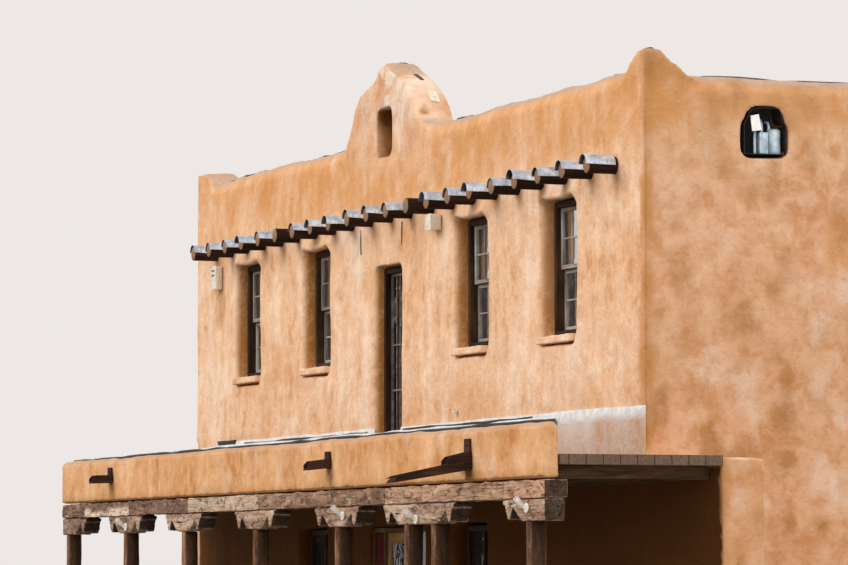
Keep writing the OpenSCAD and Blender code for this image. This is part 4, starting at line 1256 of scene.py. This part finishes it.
def hewn(low, high, seed, rough, step, rows, corner=.012):
    """A hewn timber along X: like a plain one, with extra rows of points for its tool marks."""
    size = np.array(high) - np.array(low)
    count = int(size[0] / step) + 1
    ring = []
    corners = [(1, 1), (-1, 1), (-1, -1), (1, -1)]
    for c in range(4):
        (ax, ay), (bx, by) = corners[c], corners[(c + 1) % 4]
        a = np.array((ax * size[1] / 2, ay * size[2] / 2))
        b = np.array((bx * size[1] / 2, by * size[2] / 2))
        along = (b - a) / np.linalg.norm(b - a)
        ring += [a + along * corner * .25, a + along * corner,
                 *(a + (b - a) * (k + 1) / (rows + 1) for k in range(rows)),
                 b - along * corner, b - along * corner * .25]
    ring = np.array(ring)
    marks = [0, corner] + [size[0] * k / count for k in range(1, count)] + [size[0] - corner, size[0]]
    verts = []
    for i, mark in enumerate(marks):
        inset = corner * .7 if i in (0, len(marks) - 1) else 0
        for u, v in ring:
            verts.append((low[0] + mark, (low[1] + high[1]) / 2 + u - math.copysign(inset, u),
                          (low[2] + high[2]) / 2 + v - math.copysign(inset, v)))
    verts = np.array(verts)
    middle = (np.array(low) + np.array(high)) / 2
    grain = verts + seed * np.array((1.7, 2.3, 3.1))
    inward = np.where(abs(verts - middle) > size / 2 - corner * 1.01, -np.sign(verts - middle), 0)
    inward[:, 0] = 0
    wear = .5 + .5 * lumps(grain, (.16, .07, .07), seed)
    wear = wear + .5 * (.5 + .5 * lumps(grain, (.06, .03, .03), seed + 1))
    verts = verts + inward * (wear * rough)[:, None]
    arris = ease(low[1] + .05, low[1], verts[:, 1]) * ease(high[2] - .06, high[2], verts[:, 2])
    verts[:, 2] -= arris * .030 * ease(-.3, .8, lumps(grain, (.22, .2, .2), seed + 5))
    verts[:, 1] += arris * .018 * ease(-.3, .8, lumps(grain, (.13, .2, .2), seed + 6))
    n = len(ring)
    faces = []
    for i in range(len(marks) - 1):
        a, b = i * n, (i + 1) * n
        faces += [[a + k, b + k, b + (k + 1) % n, a + (k + 1) % n] for k in range(n)]
    faces += [list(range(n)), [(len(marks) - 1) * n + k for k in range(n)][::-1]]
    return verts, faces, grain


# The joint ends turned to +X are end grain painted near black as shade.
beam_wood = weathered_wood("beam_wood", rgb(226, 176, 140), rgb(182, 134, 103), rgb(104, 70, 50), .7, .014,
                           ends=[(0, 1, rgb(34, 24, 18))], pits_and_highlights=.75,
                           tones=[("pale", rgb(226, 204, 178)), ("grey", rgb(92, 71, 61))])
beams = [hewn((a, PORCH_FRONT, BEAM_FOOT), (b - .012 if b < PORCH_RIGHT else b, BEAM_BACK, BEAM_HEAD),
              70 + 2 * i, .018, .07, 3) for i, (a, b) in enumerate(zip(BEAM_ENDS, BEAM_ENDS[1:]))]
porch_beams = fixed(carpentry("porch_beams", beams, beam_wood, 40), "old_wood", "porch_beam")
spots = points_of(porch_beams.data)
part_of = np.clip(np.searchsorted(BEAM_ENDS, spots[:, 0]) - 1, 0, len(BEAM_PALE) - 1)
split_face = ease(2.54, 2.49, spots[:, 2] + .02 * lumps(spots, (.3, .3, .1), 74))
split_face *= (part_of == 0) & (spots[:, 0] > -7.4)
put(porch_beams.data, "pale", np.maximum(np.array(BEAM_PALE)[part_of], 1.2 * split_face))
put(porch_beams.data, "grey", np.array(BEAM_GREY)[part_of] * (1 - split_face))


# Porch joists
# Evenly spaced sawn timbers that carry the porch deck. They rest on the back of the
# beam and end at the wall of the house.

JOIST_X0, JOIST_GAP, JOIST_COUNT, JOIST_Z = -8.245, .774, 25, 2.695
joist_wood = weathered_wood("joist_wood", rgb(132, 102, 78), rgb(96, 70, 50), rgb(54, 36, 25), .6, .004)
one_joist = member((-.055, -1.9, -.075), (.055, 0, .075), 91, .006, .003, .25)
joist_base = carpentry("joist_base", [one_joist], joist_wood)
joists = grown("joist_row", row, joist_base.data, {
    "Count": JOIST_COUNT, "Start": (JOIST_X0, 0, JOIST_Z), "Spacing": JOIST_GAP, "Shrink": .03,
    "Seed": 6, "Material": joist_wood})
bpy.data.objects.remove(joist_base)
own_grain(joists, JOIST_X0, JOIST_GAP)
fixed(joists, "old_wood", "porch_joists")


# Porch parapet
# Low earth wall on the beam round the porch roof, plastered wet in one skin
# over the whole length, with three holes left for the spouts.

PARAPET_BACK, PARAPET_FOOT, PARAPET_HEAD = -1.9, 2.62, 3.25
SPOUTS = [(-5.99, 2.88, .03), (3.62, 2.88, .11), (8.48, 2.845, .21)]
SPOUT_HALF, SPOUT_HIGH = .10, .115
low_wall = [((PORCH_LEFT, PORCH_FRONT + inset, PARAPET_FOOT),
             (PORCH_RIGHT, PARAPET_BACK - inset, PARAPET_HEAD - drop))
            for inset, drop in ((0, .07), (.022, .03), (.055, 0))]
spout_holes = [((x - SPOUT_HALF, -2.2, z), (x + SPOUT_HALF, -1.8, z + SPOUT_HIGH)) for x, z, _ in SPOUTS]
parapet = hand_formed("parapet_wall", [block_skin(low_wall, spout_holes)], voxel=.03, rounds=3)
spots, outward = points_of(parapet.data), normals_of(parapet.data)
wave = .010 * lumps(spots, (.8, .5, .5), 63) + .006 * lumps(spots, (.22, .2, .25), 64) - .010
free = ease(PARAPET_FOOT, PARAPET_FOOT + .08, spots[:, 2])
spots += outward * (wave * (.4 + .6 * free))[:, None]
spots[:, 2] -= .022 * (.5 + .5 * lumps(spots, (1.1, 9, 9), 65)) * ease(3.05, 3.25, spots[:, 2])
spots[:, 2] = np.maximum(spots[:, 2], PARAPET_FOOT)
spots[:, 0] = np.clip(spots[:, 0], .002 - HALF, PORCH_RIGHT - .002)
move_points(parapet.data, spots)
parapet = thinned(parapet, .55)
spots, outward = points_of(parapet.data), normals_of(parapet.data)
x, y, z = spots.T
street = ease(.5, .8, -outward[:, 1])
# The street face is stained, more below each spout; the darker band along the foot over the beam is painted shadow.
stain_and_shade = .28 * street * (.6 + .4 * lumps(spots, (.5, .5, .3), 66)) + .25 * near(z, 2.6, 2.68, .08)
for spout_x, _, _ in SPOUTS:
    stain_and_shade = np.maximum(stain_and_shade, .8 * near(x, spout_x - .11, spout_x + .11, .07) * ease(3.10, 2.95, z) * street)
wet = .55 * near(x, 8.36, 8.58, .03) * near(z, 2.70, 2.80, .03) * street
for leg, lean in ((3.62, .30), (3.62, -.22), (8.48, .30), (8.48, -.26)):
    drop = (2.90 - z) * lean + leg
    crack = (1 - ease(.012, .035, abs(x - drop - .02 * lumps(spots, (.1, .1, .08), 67)))) * ease(2.95, 2.86, z)
    stain_and_shade = np.maximum(stain_and_shade, .9 * crack * street)
    if leg > 8:
        wet = np.maximum(wet, .75 * crack * street)
parapet_plaster = plaster("parapet_plaster", rgb(240, 192, 148), rgb(224, 168, 118), rgb(196, 130, 78))
parapet.data.materials.append(parapet_plaster)
# A dark line along the foot of the parapet, where it sits on the beam, is painted shadow; its mark also holds the
# wet patch under the right spout.
foot_line = .9 * ease(.046, .012, z - PARAPET_FOOT + .016 * lumps(spots, (.09, .2, .2), 76)) * street
for mark, strength in (("stain_and_shade", stain_and_shade), ("painted_shade_and_wet", np.maximum(foot_line, wet)),
                       ("crest", .8 * ease(.25, .8, outward[:, 2])),
                       ("worn", .35 * ease(.2, .9, lumps(spots, (.4, .3, .4), 68))),
                       ("pink", .35 * ease(0, .8, lumps(spots, (1.5, 1, 1), 69)) * street)):
    put(parapet.data, mark, strength)
fixed(parapet, "adobe", "porch_parapet", "spout_surrounds")


# Porch flashing
# Strips of pale sheet that seal the porch roof against the parapet and the
# house wall, in lengths that overlap, their upper edges bent by hand.


def sheet_strip(x0, x1, y_wall, y_free, z0, z1, seed, length=2.4):
    """A strip of sheet along X in overlapping lengths, its free side towards y_free."""
    parts = []
    thick = y_free - y_wall
    start, i = x0, 0
    while start < x1 - .01:
        end = min(start + length, x1)
        count = max(2, int((end - start) / .10))
        reach = .75 if i % 2 else 1.0
        verts = []
        for k in range(count + 1):
            at = start + (end - start) * k / count
            wave = lumps([(at, seed, 0)], (.5, 1, 1), seed)[0]
            top = z1 - .010 - .010 * wave
            lip = thick * reach * (.8 + .2 * wave)
            verts += [(at, y_wall + out, z) for out, z in (
                (0, z0), (lip * .55, z0), (lip * .55, top - (top - z0) * .26),
                (lip * .55, top - (top - z0) * .13), (lip, top - .03), (lip * .8, top), (0, top))]
        faces = tube_faces(count + 1, 7)
        parts.append((verts, [f[::-1] for f in faces] if thick > 0 else faces))
        start, i = end, i + 1
    return parts


strips = sheet_strip(PORCH_LEFT + .04, PORCH_RIGHT - .06, -1.9, -1.894, 3.01, 3.29, 71)
for x0, x1, seed in ((-7.55, -.64, 72), (.40, HALF, 73)):
    strips += sheet_strip(x0, x1, 0.0, -.012, 2.88, 3.52, seed)
pale_flashing = old_sheet("pale_flashing", rgb(246, 246, 244), rgb(216, 216, 216), rgb(120, 108, 98), .45,
                          "dusty", rgb(190, 146, 108))
flashing = assembled("sheet_flashing", strips, pale_flashing, 30)
spots = points_of(flashing.data)
dusty = ease(3.46, 3.32, spots[:, 2] + .04 * lumps(spots, (.3, 1, .3), 77))
put(flashing.data, "dusty", (spots[:, 1] > -.1) * dusty)
fixed(flashing, "pale_sheet", "porch_flashing")
# Thin dark strips that stand for shadow lines: along the parapet crest in front of the pale flashing, and across the
# wall flashing just below its bent top edge.
shadow_line_parts = sheet_strip(PORCH_LEFT + .05, PORCH_RIGHT - .08, -1.925, -1.931, 3.12, 3.272, 75, 1.3)
shadow_line_parts += sheet_strip(-7.54, -6.72, -.004, -.036, 3.475, 3.55, 76, .31)
shadow_line_parts += sheet_strip(.48, 5.1, -.008, -.020, 3.466, 3.493, 79, 1.7)
shadow_line_parts += sheet_strip(-6.3, -.90, -.008, -.020, 3.462, 3.487, 80, 2.1)
fixed(assembled("shadow_line_strips", shadow_line_parts, roofing_strip), "dark_sheet")


# Roof spouts
# Open troughs of thick dark planks that carry rain through the parapet. Each
# has two cheeks, a bottom and a back board, and the right one a longer trough.

SPOUT_WOOD, SPOUT_OUT, SPOUT_NOSE = .026, .29, .045
spout_wood = weathered_wood("spout_wood", rgb(80, 52, 40), rgb(52, 33, 26), rgb(26, 17, 13), .6, .004)


def plank_x(profile, x0, x1, seed):
    """A plank cut to a side profile of (y, z) points, from x0 to x1."""
    middle = np.mean(profile, axis=0)
    verts = []
    for x, pull in ((x0, .003), (x0 + .003, 0), (x1 - .003, 0), (x1, .003)):
        for p in profile:
            toward = (middle - p) / max(np.linalg.norm(middle - p), 1e-6)
            verts.append((x, p[0] + toward[0] * pull, p[1] + toward[1] * pull))
    faces = tube_faces(4, len(profile))
    area = sum(a[0] * b[1] - b[0] * a[1] for a, b in zip(profile, profile[1:] + profile[:1]))
    if area < 0:
        faces = [f[::-1] for f in faces]
    verts = np.array(verts)
    grain = verts[:, [1, 0, 2]] + seed * np.array((1.1, .7, 1.9))
    return verts, faces, grain


def trough(x, z, slope, board, seed):
    """One spout: two cheeks, a bottom, the back board on the parapet and a lid in the hole."""
    front, head, fall = PORCH_FRONT, z + SPOUT_HIGH, SPOUT_OUT * slope
    inside, tip = front + .2, front - SPOUT_OUT
    cheek = [(inside, z), (inside, head - .001), (front, head - .001), (tip + SPOUT_NOSE, head - fall),
             (tip + .012, head - SPOUT_NOSE * .75 - fall), (tip, head - SPOUT_NOSE * 1.1 - fall),
             (tip, z - fall), (front, z)]
    floor = [(inside, z + .001), (inside, z + SPOUT_WOOD), (front, z + SPOUT_WOOD),
             (tip, z + SPOUT_WOOD - fall), (tip, z + .001 - fall), (front, z + .001)]
    left, right = x - SPOUT_HALF, x + SPOUT_HALF
    return [plank_x(cheek, left, left + SPOUT_WOOD, seed), plank_x(cheek, right - SPOUT_WOOD, right, seed + 1),
            plank_x(floor, left + SPOUT_WOOD - .001, right - SPOUT_WOOD + .001, seed + 2),
            member((x - .088, front - .022, head - .018), (x + .092, front - .001, head + board), seed + 3),
            member((x - .075, front - .0005, head - .002), (x + .075, front + .19, head), seed + 4, .0008)]


BACK_BOARDS = (.104, .088, .142)
troughs = [part for i, (spout, board) in enumerate(zip(SPOUTS, BACK_BOARDS))
           for part in trough(*spout, board, 620 + 7 * i)]
fixed(carpentry("spout_troughs", troughs, spout_wood, 30), "dark_wood", "roof_spouts")
x, z, slope = SPOUTS[2]
TROUGH_OUT, TROUGH_HALF = .94, .127


def sloped(low, high, reach, thinner):
    """Side profile of a plank of the long trough, cut slanting at its tip."""
    back = reach - .06
    return [(PORCH_FRONT, z + low), (PORCH_FRONT, z + high), (PORCH_FRONT - back, z + high - back * slope),
            (PORCH_FRONT - reach, z + low + thinner - reach * slope)]


long_trough = [plank_x(sloped(-.09, -.001, TROUGH_OUT, .042), x - TROUGH_HALF, x + TROUGH_HALF, 650),
               plank_x(sloped(-.002, .02, TROUGH_OUT, 0), x - TROUGH_HALF, x - TROUGH_HALF + .024, 651),
               plank_x(sloped(-.002, .02, TROUGH_OUT, 0), x + TROUGH_HALF - .024, x + TROUGH_HALF, 652)]
fixed(carpentry("long_trough", long_trough, spout_wood, 30), "dark_wood", "spout_extension")


# Porch lamps
# Small spot lamps of white enamelled sheet on the fronts of four corbels, each
# a round foot, a short arm and a tapered head with a dark glass.

white_enamel = painted_iron("white_enamel", rgb(250, 248, 244), rgb(232, 227, 219), rgb(160, 130, 104))
dark_lens = old_glass("lamp_lens", rgb(150, 150, 148))
LAMPS = [(-5.25, .088), (4.13, .135), (6.73, .060), (10.24, .145)]
enamel, lenses = [], []
aim = Vector((.12, -.73, .68)).normalized()
for x, rise in LAMPS:
    foot = Vector((x, POST_Y - CORBEL_THICK / 2, CORBEL_FOOT + rise))
    heart = foot + Vector((0, -.030, .004))
    enamel += [turned([(0, .054), (.010, .054), (.017, .049), (.022, .022), (.034, .018)], foot, (0, -1, 0), 20),
               turned([(-.012, .014), (-.006, .020), (.030, .021), (.036, .026), (.070, .029), (.110, .033),
                       (.150, .0345), (.153, .033), (.149, .031), (.140, .030)], heart, aim, 20)]
    lenses.append(turned([(.136, .0298), (.141, .0295), (.146, .018), (.147, .002)], heart, aim, 20))
fixed(assembled("spot_lamps", enamel, white_enamel, 35), "pale_sheet", "porch_lamps")
fixed(assembled("spot_lenses", lenses, dark_lens, 35), "window_glass")


# Wall boxes
# Two sheet-metal boxes screwed to the front wall under the logs, one with two
# slots, and a garden tap whose pipe comes out of the wall above the flashing. Two
# thin dark rods hang under the logs, to the left and right of the upper door.


def rounded_box(low, high, corner):
    """Box with its edges rounded over by a small bevel."""
    rough = assembled("box_rough", [boxes([(low, high)])])
    edge = rough.modifiers.new("edge", "BEVEL")
    edge.width, edge.segments = corner, 2
    made = settled(rough, "box_made")
    skin = [tuple(v.co) for v in made.data.vertices], [list(p.vertices) for p in made.data.polygons]
    bpy.data.objects.remove(made)
    return skin


pale = painted_iron("pale_box_paint", rgb(244, 236, 220), rgb(222, 208, 184), rgb(140, 108, 84))
shells = [rounded_box((-7.645, -.104, 5.765), (-7.405, 0, 6.105), .010),
          rounded_box((-7.65, -.11, 5.90), (-7.40, -.096, 6.11), .004),
          rounded_box((1.695, -.138, 5.975), (1.905, 0, 6.175), .010),
          rounded_box((1.69, -.15, 5.97), (1.91, -.134, 6.18), .005),
          turned([(0, .034), (.008, .034), (.010, .014), (.034, .014), (.036, .020), (.050, .020), (.056, .012)],
                 (2.46, 0, 3.63), (0, -1, 0), 20),
          turned([(-.030, .009), (.006, .009), (.010, .012), (.030, .010)], (2.46, -.043, 3.63), (0, 0, -1), 12),
          turned([(0, .006), (.018, .006), (.020, .026), (.026, .028), (.030, .022)],
                 (2.46, -.043, 3.638), (0, 0, 1), 12)]
fixed(assembled("boxes_and_tap", shells, pale, 35), "pale_sheet", "wall_boxes")
dark_bits = [boxes([((-7.6, -.1105, 6.03), (-7.45, -.095, 6.055)), ((-7.6, -.1105, 5.96), (-7.45, -.095, 5.985))]),
             turned([(0, .008), (.003, .008), (.004, .004)], (1.80, -.1497, 6.02), (0, -1, 0), 10)]
for x, z0, z1 in ((-1.19, 5.86, 6.19), (.436, 5.88, 6.19)):
    dark_bits.append(rod([(x, -.008, z1), (x + .004, -.014, (z0 + z1) / 2), (x, -.008, z0)], .007))
fixed(assembled("dark_fittings", dark_bits, dark_iron, 35), "dark_sheet")


# Side vent
# An arched niche high in the right wall, lined with black sheet. Pipes, a grey
# drum and a loose white panel stand in it.

lining_finish = old_sheet("vent_lining", rgb(34, 30, 28), rgb(16, 14, 13), rgb(52, 36, 28), .6)
arch = [(1.236, 6.398), (1.764, 6.398), (1.764, 6.745), (1.716, 6.80), (1.70, 6.90), (1.672, 6.938),
        (1.50, 6.945), (1.345, 6.928), (1.30, 6.875), (1.272, 6.80), (1.236, 6.74)]
inner_arch = [(1.50 + (y - 1.50) * .965, 6.66 + (z - 6.66) * .965) for y, z in arch]
verts = [(x, y, z) for x, ring in ((8.315, arch), (8.592, arch), (8.592, inner_arch), (8.325, inner_arch))
         for y, z in ring]
fixed(assembled("vent_lining", [(verts, tube_faces(4, len(arch)))], lining_finish), "dark_sheet",
      "side_vent_lining")
vent_grey = painted_iron("vent_grey", rgb(206, 222, 232), rgb(150, 170, 184), rgb(120, 78, 52))
VENT_FOOT = 6.412
gear = [turned([(0, .074), (.012, .080), (.10, .080), (.112, .077), (.20, .077), (.212, .080), (.27, .080),
                (.29, .06)], (8.48, 1.655, VENT_FOOT), (0, 0, 1), 20),
        rounded_box((8.40, 1.455, VENT_FOOT), (8.54, 1.565, 6.66), .008)]
for y, x, top in ((1.41, 8.50, 6.80), (1.51, 8.47, 6.76), (1.61, 8.45, 6.74)):
    gear.append(rod([(x, y, VENT_FOOT), (x, y, top), (x - .03, y, top + .04), (x - .10, y, top + .05)], .018, 10))
fixed(assembled("vent_gear", gear, vent_grey, 40), "pale_sheet")
tilted = [(8.578, 1.345, 6.664), (8.578, 1.466, 6.680), (8.560, 1.436, 6.866), (8.560, 1.332, 6.842)]
back_side = [(x - .008, y, z) for x, y, z in tilted]
sides = [[0, 1, 2, 3], [7, 6, 5, 4], [0, 4, 5, 1], [1, 5, 6, 2], [2, 6, 7, 3], [3, 7, 4, 0]]
fixed(assembled("vent_panel", [(tilted + back_side, sides)], white_enamel), "pale_sheet")


# Gable bits
# A small repair plate on the right flank of the bell gable and scraps of dark
# felt pressed into the crests. The roof edging is laid here as well, because it
# follows the finished crest.

view_layer.update()


def surface(x, y):
    """Point and outward direction of the wall skin under a point above the roof."""
    hit, place, normal, _ = adobe_walls.ray_cast(Vector((x, y, 9.0)), Vector((0, 0, -1)))
    return (place, normal) if hit else (Vector((x, y, BACK_TOP)), Vector((0, 0, 1)))


def laid_strip(points, half, rise):
    """A thin strip that follows the crest along points of (x, y), wavy at its edges."""
    verts = []
    for i, (x, y) in enumerate(points):
        ahead, behind = points[min(i + 1, len(points) - 1)], points[max(i - 1, 0)]
        along = Vector((ahead[0] - behind[0], ahead[1] - behind[1], 0)).normalized()
        across = Vector((-along.y, along.x, 0))
        wide = half * (1 + .25 * lumps([(x, y, 0)], (.4, .4, 1), 71)[0])
        lift = rise * (1 + .5 * lumps([(x, y, 0)], (.3, .3, 1), 72)[0])
        for off, up in ((-wide, -.004), (-wide, lift * .6), (0, lift), (wide, lift * .6), (wide, -.004)):
            spot = Vector((x, y, 0)) + across * off
            verts.append((spot.x, spot.y, surface(spot.x, spot.y)[0].z + up))
    return verts, tube_faces(len(points), 5)


def straight(x0, y0, x1, y1, count):
    return [(x0 + (x1 - x0) * k / count, y0 + (y1 - y0) * k / count) for k in range(count + 1)]


scraps = [laid_strip(straight(*ends, 6), half, rise) for ends, half, rise in (
    ((-.52, .24, -.24, .27), .045, .018), ((.25, .25, .47, .26), .03, .016),
    ((8.30, .06, 8.56, .10), .03, .020), ((-8.0, .44, -7.62, .40), .05, .016))]
scraps.append(laid_strip([(8.40 + .01 * math.sin(k), .78 + .08 * k) for k in range(69)], .018, .017))
felt = assembled("crest_scraps", scraps, dark_iron)
edging = [laid_strip(straight(x0, across, x1, across, count), .014, .024) for x0, x1, across, count in (
    (-7.98, -1.95, .335, 75), (1.34, 7.9, .335, 82), (-7.65, -5.97, .21, 21),
    (-4.04, -2.44, .21, 20), (1.95, 2.5, .21, 8), (7.2, 7.92, .21, 9))]
fixed(assembled("roof_edging_strips", edging, roofing_strip), "dark_sheet", "roof_edging")
place, normal = surface(.86, .28)
down = (Vector((0, 0, -1)) - normal * normal.dot(Vector((0, 0, -1)))).normalized()
over = normal.cross(down)
plate_verts = [tuple(place + over * (a * .06) + down * (b * .10 + a * .008) + normal * (.012 * c - .004))
               for c in (0, 1) for b in (-1, 1) for a in (-1, 1)]
fixed(assembled("repair_plate", [(plate_verts, BOX_FACES)], pale), "pale_sheet")
fixed(felt, "dark_sheet")


# Viewpoint, floor and light
# Seen from across the street at eye height, on a plain pale floor. Weak soft
# lamps from the front left, the right and behind stand for an overcast day.

eye = bpy.data.cameras.new("eye")
FRAME_WIDE, FOCAL_PIXELS, SENSOR = 848, 4485.0, 36.0
eye.lens, eye.sensor_width, eye.clip_end = FOCAL_PIXELS * SENSOR / FRAME_WIDE, SENSOR, 900
camera = bpy.data.objects.new("camera", eye)
bpy.context.scene.collection.objects.link(camera)
yaw, pitch = math.radians(19.9965), math.radians(3.7099)
look = Vector((-math.cos(yaw) * math.cos(pitch), math.sin(yaw) * math.cos(pitch), math.sin(pitch)))
camera.location = (55.45, -19.72, 1.6)
camera.rotation_euler = look.to_track_quat("-Z", "Y").to_euler()
bpy.context.scene.camera = camera


def seen(holder):
    """1 where the background is seen directly, in a gloss or through glass."""
    ways = add_node(holder, "LightPath").outputs
    direct = combine(holder, ways["Is Camera Ray"], ways["Is Glossy Ray"], "MAXIMUM")
    return combine(holder, direct, ways["Is Transmission Ray"], "MAXIMUM")


FLOOR_REACH = 400
floor_finish, shader = new_material("studio_floor")
plug_in(floor_finish, shader.inputs["Base Color"],
        blend_colours(floor_finish, seen(floor_finish), rgb(140, 136, 130), rgb(232, 228, 222)))
shader.inputs["Roughness"].default_value = 0.9
corners = [(FLOOR_REACH * a, FLOOR_REACH * b, 0) for a, b in ((-1, -1), (1, -1), (1, 1), (-1, 1))]
assembled("studio_floor", [(corners, [[0, 1, 2, 3]])], floor_finish)


def soft_lamp(name, towards, strength, spread, colour):
    """A wide sun lamp that shines in a direction, its spread in degrees."""
    lamp = bpy.data.lights.new(name, "SUN")
    lamp.energy, lamp.angle, lamp.color = strength, math.radians(spread), colour
    holder = bpy.data.objects.new(name, lamp)
    holder.rotation_euler = Vector(towards).to_track_quat("-Z", "Y").to_euler()
    bpy.context.scene.collection.objects.link(holder)


soft_lamp("front_lamp", (.35, .85, -.58), 1.78, 40, (1, .98, .95))
soft_lamp("right_lamp", (-.85, .15, -.38), 1.42, 60, (1, .98, .95))
soft_lamp("back_lamp", (.10, -.80, -.40), .95, 60, (1, 1, 1))
world = bpy.data.worlds.new("studio")
bpy.context.scene.world = world
world.use_nodes = True
around = world.node_tree.nodes["Background"]
around.inputs["Color"].default_value = (.97, .98, 1.0, 1)
around.inputs["Strength"].default_value = 0.70
backdrop = add_node(world, "Background", {"Color": rgb(237, 232, 229)})
choose = add_node(world, "MixShader", {0: seen(world), 1: around.outputs[0], 2: backdrop.outputs[0]})
plug_in(world, world.node_tree.nodes["World Output"].inputs["Surface"], choose.outputs[0])
bpy.context.scene.view_settings.view_transform = "Standard"
